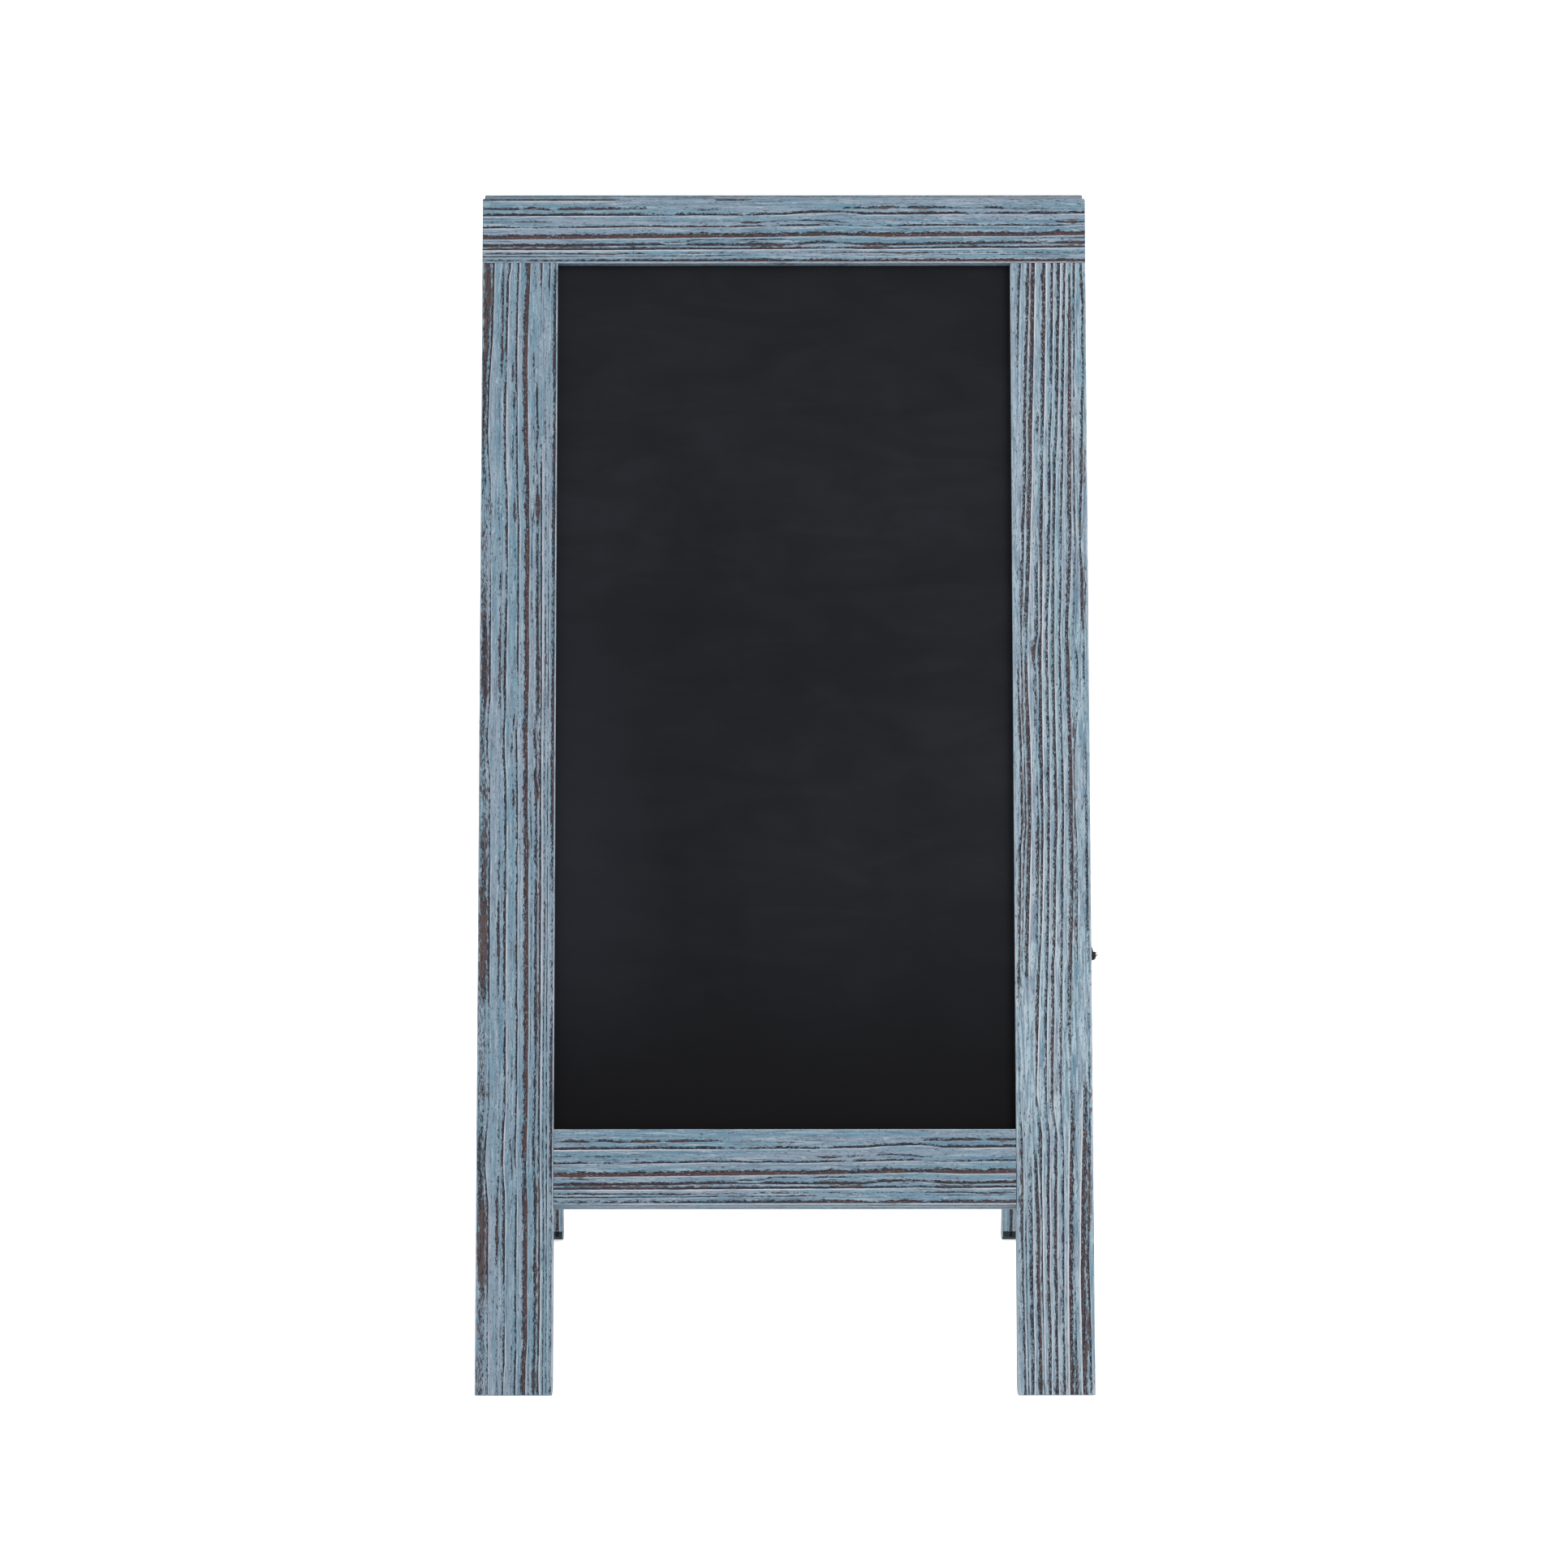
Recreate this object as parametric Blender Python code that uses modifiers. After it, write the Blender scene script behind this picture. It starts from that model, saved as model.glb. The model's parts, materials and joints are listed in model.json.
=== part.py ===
"""A folding A-frame chalkboard: two timber frames, each holding a recessed writing board, hinged
together along their top rails and kept from spreading by one stay cord.

World axes: X across the sign, -Y towards the front board, +Z up, floor at Z = 0.
Each frame is built upright in its own space under an empty on the hinge pins' axis, with Z running
up the frame and Y pointing out of it, and the empty then leans the whole frame.
"""

import math

import bmesh
import bpy
from mathutils import Vector

# Driving dimensions, in metres and radians
FRAME_WIDTH = 0.508
FRAME_LENGTH = 1.016          # top edge to floor, down the outer face
STOCK = 0.028                 # thickness of every rail and leg
LEAN = math.radians(19.127)   # of each frame from the vertical when open
TOP_RAIL_HEIGHT = 0.0559
BOTTOM_RAIL_HEIGHT = 0.0626
BOTTOM_RAIL_DOWN = 0.7949     # top edge of the frame to the bottom rail's upper edge
LEG_WIDTH = {"front": 0.0635, "rear": 0.056}

BOARD_THICKNESS = 0.005
BOARD_RECESS = 0.010          # outer face of the frame to the writing face
BOARD_TONGUE = 0.008          # how far the board runs into its groove
GAP = 0.0003                  # between pieces that touch

EDGE_EASE = 0.0012            # radius on the timber's long edges
FOOT_CHAMFER = 0.0040         # along the inner lower edge of each foot

DOWEL_RADIUS = 0.005
DOWEL_LENGTH = 0.044
DOWEL_SPREAD = 0.014          # from the middle of a joint to each of its two dowels

PIN_FROM_TIMBER = 0.004       # hinge axis to the inner face of each frame
PIN_RADIUS = 0.00175
PIN_HEAD_RADIUS = 0.0027
PIN_HEAD_LENGTH = 0.001
KNUCKLE_RADIUS = 0.0037
KNUCKLE_COUNT = 5
LEAF_LENGTH = 0.064
LEAF_HEIGHT = 0.032
LEAF_THICKNESS = 0.0018
LEAF_NOTCH = 0.0048           # hinge axis to the plate's edge between its own knuckles
HINGE_X = 0.150               # middle of each hinge from the middle of the sign

SCREW_HEAD_RADIUS = 0.0034
SCREW_HEAD_LENGTH = 0.0020
SCREW_SHANK_RADIUS = 0.0016
SCREW_LENGTH = 0.015
SCREW_SPOTS = ((-0.023, 0.013), (0.0, 0.025), (0.023, 0.013))   # along the leaf, down from the pin

CORD_RADIUS = 0.0015
CORD_HOLE_RADIUS = 0.0022
CORD_HOLE_FROM_INSIDE = 0.0065   # inner face of the leg to the hole's axis
CORD_HOLE_DOWN = 0.6457          # top edge of the frame to the hole's axis
CORD_STEP = 0.0078               # between points along the cord
STAY_ROUTE = (
    (0.2500, -0.2215, 0.3428),   # behind the front knot, through the front right leg
    (0.2202, -0.2215, 0.3428),
    (0.1920, -0.2215, 0.3428),
    (0.1858, -0.2192, 0.3428),   # round to the back, out of the front leg's hole
    (0.1830, -0.2121, 0.3428),
    (0.1824, -0.1915, 0.3428),
    (0.1899, 0.1915, 0.3428),    # taut across to the rear right leg
    (0.1905, 0.2121, 0.3428),
    (0.1934, 0.2192, 0.3428),
    (0.1995, 0.2215, 0.3428),    # through the rear leg to the rear knot
    (0.2240, 0.2215, 0.3428),
    (0.2500, 0.2215, 0.3428),
)
KNOT_RADIUS = 0.0037
KNOT_LENGTH = 0.0078
KNOT_SEAT_RADIUS = 0.0045
KNOT_SEAT_DEPTH = 0.0040
ROUND_SIDES = 16

PIN_HEIGHT = FRAME_LENGTH * math.cos(LEAN) - (PIN_FROM_TIMBER + STOCK) * math.sin(LEAN)
HALF_WIDTH = FRAME_WIDTH / 2
SIDE = {"front": -1, "rear": 1}        # sign of Y on the outside of each frame
HAND = {"left": -1, "right": 1}        # sign of X, seen from the front


def clear_scene():
    for old in list(bpy.data.objects):
        bpy.data.objects.remove(old, do_unlink=True)


def new_collection(name, hidden=False):
    collection = bpy.data.collections.new(name)
    collection.hide_render = hidden
    bpy.context.scene.collection.children.link(collection)
    return collection


def principled(name, colour, roughness, metallic=0.0):
    material = bpy.data.materials.new(name)
    material.use_nodes = True
    shader = material.node_tree.nodes["Principled BSDF"]
    shader.inputs["Base Color"].default_value = (*colour, 1.0)
    shader.inputs["Roughness"].default_value = roughness
    shader.inputs["Metallic"].default_value = metallic
    return material


def move_to(obj, collection):
    for holder in list(obj.users_collection):
        holder.objects.unlink(obj)
    collection.objects.link(obj)


def finish_piece(obj, name, place, parent, material):
    """Names a piece, puts it under its frame's empty and in the sign's collection."""
    obj.name = name
    obj.data.name = name
    obj.parent = parent
    obj.location = place
    obj.data.materials.append(material)
    move_to(obj, SIGN)
    return obj


def finish_cutter(obj, name, place, parent):
    obj.name = name
    obj.parent = parent
    obj.location = place
    obj.hide_render = True
    obj.display_type = "WIRE"
    move_to(obj, CUTTERS)
    return obj


def boolean(obj, other, operation):
    modifier = obj.modifiers.new(f"{operation.lower()} {other.name}", "BOOLEAN")
    modifier.object = other
    modifier.operation = operation
    return modifier


def cube(size):
    bpy.ops.mesh.primitive_cube_add(size=1)
    obj = bpy.context.object
    obj.scale = size
    bpy.ops.object.transform_apply(location=False, rotation=False, scale=True)
    return obj


def cylinder(radius, length, axis):
    bpy.ops.mesh.primitive_cylinder_add(vertices=ROUND_SIDES, radius=radius, depth=length)
    obj = bpy.context.object
    if axis == "X":
        obj.rotation_euler = (0, math.pi / 2, 0)
        bpy.ops.object.transform_apply(location=False, rotation=True, scale=False)
    smooth(obj)
    return obj


def smooth(obj):
    obj.data.shade_smooth()
    obj.data.set_sharp_from_angle(angle=math.radians(40))


def turned(profile, axis):
    """A solid of revolution from (radius, height) points, highest first, with its top towards axis."""
    mesh = bpy.data.meshes.new("profile")
    edges = [(i, i + 1) for i in range(len(profile) - 1)]
    mesh.from_pydata([(radius, 0, height) for radius, height in profile], edges, [])
    obj = bpy.data.objects.new("turned", mesh)
    bpy.context.scene.collection.objects.link(obj)
    screw = obj.modifiers.new("turn", "SCREW")
    screw.steps = ROUND_SIDES
    screw.render_steps = ROUND_SIDES
    screw.use_merge_vertices = True
    screw.merge_threshold = 0.00001
    obj.rotation_mode = "QUATERNION"
    obj.rotation_quaternion = Vector(axis).to_track_quat("Z", "Y")
    return obj


def span(low, high):
    """Size and middle of the box between two corners."""
    size = [abs(b - a) for a, b in zip(low, high)]
    middle = [(a + b) / 2 for a, b in zip(low, high)]
    return size, middle


def ease_edges(obj):
    bevel = obj.modifiers.new("eased edges", "BEVEL")
    bevel.width = EDGE_EASE
    bevel.segments = 2
    bevel.limit_method = "ANGLE"
    bevel.angle_limit = math.radians(30)


def timber(name, low, high, frame, material):
    """A plain length of stock between two corners in the frame's space, with eased edges."""
    size, middle = span(low, high)
    obj = finish_piece(cube(size), name, middle, frame, material)
    ease_edges(obj)
    return obj


def cut_foot(leg, side):
    """Cuts the leg's end level with the floor and chamfers the edge on its inner face."""
    mesh = bmesh.new()
    mesh.from_mesh(leg.data)
    foot = [v for v in mesh.verts if v.co.z < 0]
    inner = [v for v in foot if v.co.y * side < 0]
    for vertex in inner:
        vertex.co.z += STOCK * math.tan(LEAN)
    edge = next(e for e in mesh.edges if all(v in inner for v in e.verts))
    bmesh.ops.bevel(mesh, geom=[edge], offset=FOOT_CHAMFER, segments=1, affect="EDGES")
    mesh.to_mesh(leg.data)
    mesh.free()


def dowel(name, place, axis, members):
    """A dowel across a joint, and the holes for it in both members."""
    piece = cylinder(DOWEL_RADIUS, DOWEL_LENGTH, axis)
    finish_piece(piece, name, place, members[0].parent, BEECH)
    hole = cylinder(DOWEL_RADIUS + GAP, DOWEL_LENGTH + 4 * GAP, axis)
    finish_cutter(hole, f"hole_for_{name}", place, members[0].parent)
    for member in members:
        boolean(member, hole, "DIFFERENCE")


def make_frame(end):
    """Rails, legs, writing board and dowels of the front or the rear frame."""
    side = SIDE[end]
    leg_width = LEG_WIDTH[end]
    inner = side * PIN_FROM_TIMBER
    outer = side * (PIN_FROM_TIMBER + STOCK)
    opening = HALF_WIDTH - leg_width
    rail_low = BOTTOM_RAIL_DOWN + BOTTOM_RAIL_HEIGHT

    frame = bpy.data.objects.new(f"{end}_frame_pivot", None)
    frame.location = (0, 0, PIN_HEIGHT)
    frame.rotation_euler = (side * LEAN, 0, 0)
    SIGN.objects.link(frame)

    top_rail = timber(
        f"{end}_top_rail",
        (-HALF_WIDTH, inner, -TOP_RAIL_HEIGHT),
        (HALF_WIDTH, outer, 0),
        frame,
        PAINTED_WOOD,
    )
    bottom_rail = timber(
        f"{end}_bottom_rail",
        (-opening + GAP, inner, -rail_low),
        (opening - GAP, outer, -BOTTOM_RAIL_DOWN),
        frame,
        PAINTED_WOOD,
    )
    legs = {}
    for hand, sign in HAND.items():
        leg = timber(
            f"{end}_{hand}_leg",
            (sign * opening, inner, -FRAME_LENGTH),
            (sign * HALF_WIDTH, outer, -TOP_RAIL_HEIGHT - GAP),
            frame,
            PAINTED_WOOD,
        )
        cut_foot(leg, side)
        legs[hand] = leg

    reach = opening + BOARD_TONGUE
    face = outer - side * BOARD_RECESS
    low = (-reach, face - side * BOARD_THICKNESS, -BOTTOM_RAIL_DOWN - BOARD_TONGUE)
    high = (reach, face, -TOP_RAIL_HEIGHT + BOARD_TONGUE)
    size, middle = span(low, high)
    finish_piece(cube(size), f"{end}_chalkboard", middle, frame, SLATE_PAINT)
    groove = cube([length + 2 * GAP for length in size])
    finish_cutter(groove, f"{end}_groove", middle, frame)
    for member in (top_rail, bottom_rail, *legs.values()):
        boolean(member, groove, "DIFFERENCE")

    depth = (inner + outer) / 2
    for hand, sign in HAND.items():
        leg = legs[hand]
        leg_middle = sign * (HALF_WIDTH - leg_width / 2)
        for where, step in (("inner", -DOWEL_SPREAD), ("outer", DOWEL_SPREAD)):
            place = (leg_middle + sign * step, depth, -TOP_RAIL_HEIGHT)
            dowel(f"{end}_{hand}_top_dowel_{where}", place, "Z", (top_rail, leg))
        rail_middle = -BOTTOM_RAIL_DOWN - BOTTOM_RAIL_HEIGHT / 2
        for where, step in (("upper", DOWEL_SPREAD), ("lower", -DOWEL_SPREAD)):
            place = (sign * opening, depth, rail_middle + step)
            dowel(f"{end}_{hand}_rail_dowel_{where}", place, "X", (bottom_rail, leg))
    return frame, top_rail, legs


def screw_profile(grow=0.0):
    """A countersunk wood screw, its head's face at height 0, or the hole that clears it by grow."""
    return (
        (0, grow),
        (SCREW_HEAD_RADIUS + grow, grow),
        (SCREW_HEAD_RADIUS + grow, 0),
        (SCREW_SHANK_RADIUS + grow, -SCREW_HEAD_LENGTH),
        (SCREW_SHANK_RADIUS + grow, 0.003 - SCREW_LENGTH),
        (0, -SCREW_LENGTH - grow),
    )


def hinge_leaf(end, hinge, frame, centre, knuckles):
    """One leaf: a plate on the inner face of the rail and its share of the knuckles."""
    side = SIDE[end]
    plate_out = side * (PIN_FROM_TIMBER - GAP)
    plate_in = plate_out - side * LEAF_THICKNESS
    low = (centre - LEAF_LENGTH / 2, plate_in, -LEAF_HEIGHT)
    high = (centre + LEAF_LENGTH / 2, plate_out, -LEAF_NOTCH)
    size, middle = span(low, high)
    leaf = finish_piece(cube(size), f"{hinge}_hinge_{end}_leaf", middle, frame, STEEL)
    pitch = LEAF_LENGTH / KNUCKLE_COUNT
    length = pitch - 2 * GAP
    for index in knuckles:
        along = centre - LEAF_LENGTH / 2 + (index + 0.5) * pitch
        barrel = cylinder(KNUCKLE_RADIUS, length, "X")
        finish_cutter(barrel, f"{leaf.name}_barrel_{index}", (along, 0, 0), frame)
        tab_size, tab_middle = span(
            (along - length / 2, plate_in, -LEAF_NOTCH - LEAF_THICKNESS),
            (along + length / 2, plate_out, 0),
        )
        tab = finish_cutter(cube(tab_size), f"{leaf.name}_tab_{index}", tab_middle, frame)
        boolean(leaf, tab, "UNION")
        boolean(leaf, barrel, "UNION")
    bore = cylinder(PIN_RADIUS + GAP, 2 * LEAF_LENGTH, "X")
    finish_cutter(bore, f"{leaf.name}_bore", (centre, 0, 0), frame)
    boolean(leaf, bore, "DIFFERENCE")
    return leaf


def hinge_screws(end, hinge, frame, centre, leaf, rail):
    """Three countersunk screws through a leaf into its rail, and the holes that clear them."""
    side = SIDE[end]
    face = side * (PIN_FROM_TIMBER - GAP - LEAF_THICKNESS)
    for number, (along, down) in enumerate(SCREW_SPOTS, start=1):
        place = (centre + along, face, -down)
        screw = turned(screw_profile(), (0, -side, 0))
        finish_piece(screw, f"{hinge}_hinge_{end}_screw_{number}", place, frame, STEEL)
        hole = turned(screw_profile(GAP), (0, -side, 0))
        finish_cutter(hole, f"hole_for_{screw.name}", place, frame)
        boolean(leaf, hole, "DIFFERENCE")
        boolean(rail, hole, "DIFFERENCE")


def hinge_pin(hinge, frame, centre):
    """The pin through both leaves' knuckles, with a small head beyond each end."""
    half = LEAF_LENGTH / 2 + GAP
    profile = (
        (0, half + PIN_HEAD_LENGTH),
        (PIN_HEAD_RADIUS, half + PIN_HEAD_LENGTH / 2),
        (PIN_HEAD_RADIUS, half),
        (PIN_RADIUS, half),
        (PIN_RADIUS, -half),
        (PIN_HEAD_RADIUS, -half),
        (PIN_HEAD_RADIUS, -half - PIN_HEAD_LENGTH / 2),
        (0, -half - PIN_HEAD_LENGTH),
    )
    pin = turned(profile, (1, 0, 0))
    return finish_piece(pin, f"{hinge}_hinge_pin", (centre, 0, 0), frame, STEEL)


def make_hinge(hinge, frames, rails):
    centre = HAND[hinge] * HINGE_X
    for end, knuckles in (("front", (0, 2, 4)), ("rear", (1, 3))):
        leaf = hinge_leaf(end, hinge, frames[end], centre, knuckles)
        hinge_screws(end, hinge, frames[end], centre, leaf, rails[end])
    hinge_pin(hinge, frames["front"], centre)


def cord_hole(end):
    """Y and Z of the cord hole's axis in the frame's own space."""
    return SIDE[end] * (PIN_FROM_TIMBER + CORD_HOLE_FROM_INSIDE), -CORD_HOLE_DOWN


def drill_for_cord(end, leg, frame):
    """A hole across the right leg's width, widened at its outer end to seat the knot."""
    y, z = cord_hole(end)
    through = cylinder(CORD_HOLE_RADIUS, FRAME_WIDTH, "X")
    finish_cutter(through, f"{end}_cord_hole", (HALF_WIDTH, y, z), frame)
    boolean(leg, through, "DIFFERENCE")
    seat = cylinder(KNOT_SEAT_RADIUS, 2 * KNOT_SEAT_DEPTH, "X")
    finish_cutter(seat, f"{end}_knot_seat", (HALF_WIDTH, y, z), frame)
    boolean(leg, seat, "DIFFERENCE")


def make_knot(end, frame):
    """The stopper knot, an egg-shaped lump half sunk in its seat."""
    y, z = cord_hole(end)
    bottom = -KNOT_SEAT_DEPTH + GAP
    rings = 6
    profile = []
    for ring in range(rings + 1):
        angle = math.pi * ring / rings
        radius = KNOT_RADIUS * math.sin(angle)
        profile.append((radius, bottom + KNOT_LENGTH * (1 + math.cos(angle)) / 2))
    profile[0] = (0, profile[0][1])
    profile[-1] = (0, profile[-1][1])
    knot = turned(profile, (1, 0, 0))
    finish_piece(knot, f"{end}_stay_knot", (HALF_WIDTH, y, z), frame, BLACK_CORD)


def smooth_through(points, step):
    """Points about step apart on a Catmull-Rom curve through the route."""
    ends = [2 * points[0] - points[1], *points, 2 * points[-1] - points[-2]]
    line = []
    for a, b, c, d in zip(ends, ends[1:], ends[2:], ends[3:]):
        count = max(1, round((c - b).length / step))
        knots = [0.0]
        for p, q in ((a, b), (b, c), (c, d)):
            knots.append(knots[-1] + math.sqrt((q - p).length))
        for i in range(count):
            t = knots[1] + (knots[2] - knots[1]) * i / count
            line.append(centripetal(a, b, c, d, knots, t))
    line.append(points[-1])
    return line


def centripetal(a, b, c, d, knots, t):
    """The centripetal Catmull-Rom point at t between b and c, by repeated mixing."""

    def mix(p, q, low, high):
        return p.lerp(q, (t - low) / (high - low))

    k0, k1, k2, k3 = knots
    ab = mix(a, b, k0, k1)
    bc = mix(b, c, k1, k2)
    cd = mix(c, d, k2, k3)
    return mix(mix(ab, bc, k0, k2), mix(bc, cd, k1, k3), k1, k2)


def make_cord():
    line = smooth_through([Vector(place) for place in STAY_ROUTE], CORD_STEP)
    curve = bpy.data.curves.new("stay_cord", "CURVE")
    curve.dimensions = "3D"
    curve.bevel_depth = CORD_RADIUS
    curve.bevel_resolution = 2
    curve.use_fill_caps = True
    spline = curve.splines.new("POLY")
    spline.points.add(len(line) - 1)
    for point, place in zip(spline.points, line):
        point.co = (*place, 1)
    curve.materials.append(BLACK_CORD)
    cord = bpy.data.objects.new("stay_cord", curve)
    SIGN.objects.link(cord)


clear_scene()
SIGN = new_collection("a_frame_chalkboard")
CUTTERS = new_collection("cutters", hidden=True)
PAINTED_WOOD = principled("distressed_blue_wood", (0.26, 0.35, 0.42), 0.7)
SLATE_PAINT = principled("chalkboard_paint", (0.015, 0.017, 0.022), 0.6)
BEECH = principled("beech_dowel", (0.55, 0.38, 0.22), 0.7)
STEEL = principled("zinc_plated_steel", (0.62, 0.62, 0.60), 0.35, 1.0)
BLACK_CORD = principled("black_cord", (0.012, 0.012, 0.013), 0.8)

pivots = {}
top_rails = {}
for which in ("front", "rear"):
    pivot, rail, legs_by_hand = make_frame(which)
    pivots[which] = pivot
    top_rails[which] = rail
    drill_for_cord(which, legs_by_hand["right"], pivot)
    make_knot(which, pivot)
for which in ("left", "right"):
    make_hinge(which, pivots, top_rails)
make_cord()
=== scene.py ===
"""Looks for the folding A-frame chalkboard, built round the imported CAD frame.

Each timber is swept in its own frame's upright space: U along the grain, V across the outer face and
W through the thickness, then leaned with the CAD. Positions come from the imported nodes.
"""

import json
import math

import bmesh
import bpy
import numpy as np
from mathutils import Matrix, Vector


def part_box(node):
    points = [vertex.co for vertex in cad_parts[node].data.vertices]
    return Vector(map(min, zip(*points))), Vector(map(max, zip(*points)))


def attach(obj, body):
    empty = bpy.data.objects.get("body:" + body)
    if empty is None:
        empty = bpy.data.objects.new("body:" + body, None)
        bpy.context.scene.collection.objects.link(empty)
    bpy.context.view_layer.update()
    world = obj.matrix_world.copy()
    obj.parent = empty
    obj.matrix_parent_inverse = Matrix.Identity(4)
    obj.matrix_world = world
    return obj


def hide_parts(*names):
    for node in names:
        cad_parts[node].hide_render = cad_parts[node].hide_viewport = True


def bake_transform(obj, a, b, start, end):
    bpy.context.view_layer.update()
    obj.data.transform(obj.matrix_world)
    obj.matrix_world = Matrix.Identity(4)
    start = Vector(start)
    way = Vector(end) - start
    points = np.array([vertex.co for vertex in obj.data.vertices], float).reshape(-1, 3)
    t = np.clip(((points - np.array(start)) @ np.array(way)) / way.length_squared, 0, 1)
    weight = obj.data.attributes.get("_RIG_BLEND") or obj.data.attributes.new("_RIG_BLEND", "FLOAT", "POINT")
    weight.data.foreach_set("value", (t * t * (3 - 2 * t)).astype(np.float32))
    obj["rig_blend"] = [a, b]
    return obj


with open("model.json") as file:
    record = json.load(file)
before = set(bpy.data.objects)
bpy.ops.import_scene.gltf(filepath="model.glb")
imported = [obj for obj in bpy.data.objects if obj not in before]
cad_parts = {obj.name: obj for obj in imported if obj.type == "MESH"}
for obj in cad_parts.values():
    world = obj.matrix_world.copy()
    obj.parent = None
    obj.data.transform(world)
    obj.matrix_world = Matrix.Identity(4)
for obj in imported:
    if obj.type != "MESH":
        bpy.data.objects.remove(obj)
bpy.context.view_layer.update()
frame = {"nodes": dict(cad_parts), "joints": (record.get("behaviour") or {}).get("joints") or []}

MM = 0.001
SIDE = {"front": -1, "rear": 1}      # sign of Y outside each frame
HANDS = ("left", "right")            # as seen from the front
PIVOT = Vector(frame["joints"][0]["pos_m"])

# ---------------------------------------------------------------- small helpers

def new_piece(data):
    """A new object in the scene, with its data's name."""
    piece = bpy.data.objects.new(data.name, data)
    bpy.context.scene.collection.objects.link(piece)
    return piece


def tube_faces(rings, sides):
    """The faces of a closed tube, as quads between its rings and a cap at each end."""
    faces = [
        (i * sides + k, i * sides + (k + 1) % sides, (i + 1) * sides + (k + 1) % sides, (i + 1) * sides + k)
        for i in range(rings - 1) for k in range(sides)
    ]
    faces.append(tuple(range(sides))[::-1])
    faces.append(tuple((rings - 1) * sides + k for k in range(sides)))
    return faces


# ---------------------------------------------------------------- camera

camera_data = bpy.data.cameras.new("camera")
camera_data.lens = 185.55
camera_data.sensor_width = 36
camera_data.clip_start, camera_data.clip_end = 0.1, 200
camera = new_piece(camera_data)
camera.location = (-0.0212, -6.8559, 1.3319)
camera.rotation_euler = (math.radians(90 - 7.262), 0, math.radians(-0.179))
bpy.context.scene.camera = camera


# ---------------------------------------------------------------- panel space

def vertices_of(node):
    mesh = frame["nodes"][node].data
    co = np.empty(len(mesh.vertices) * 3)
    mesh.vertices.foreach_get("co", co)
    return co.reshape(-1, 3)


def panel_matrix(end):
    """Upright space of one frame (Z up the frame, Y out of it at the rear) to the row frame."""
    co = vertices_of(f"{end}_chalkboard")
    normal = np.linalg.svd(co - co.mean(0), full_matrices=False)[2][2]
    lean = math.atan2(abs(normal[2]), abs(normal[1]))
    return Matrix.Translation(PIVOT) @ Matrix.Rotation(SIDE[end] * lean, 4, "X"), lean


PANEL, LEAN = {}, {}
for which in SIDE:
    PANEL[which], LEAN[which] = panel_matrix(which)


def extent(node, end):
    """Lowest and highest corner of a CAD node in its frame's upright space."""
    inverse = np.array(PANEL[end].inverted())
    co = vertices_of(node) @ inverse[:3, :3].T + inverse[:3, 3]
    return co.min(0), co.max(0)


# ---------------------------------------------------------------- material helpers

def srgb(r, g, b):
    """A screen colour, 0 to 255, as the linear colour that a shader takes."""
    def linear(c):
        c /= 255
        return c / 12.92 if c <= 0.04045 else ((c + 0.055) / 1.055) ** 2.4
    return tuple(linear(c) for c in (r, g, b)) + (1.0,)


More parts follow.
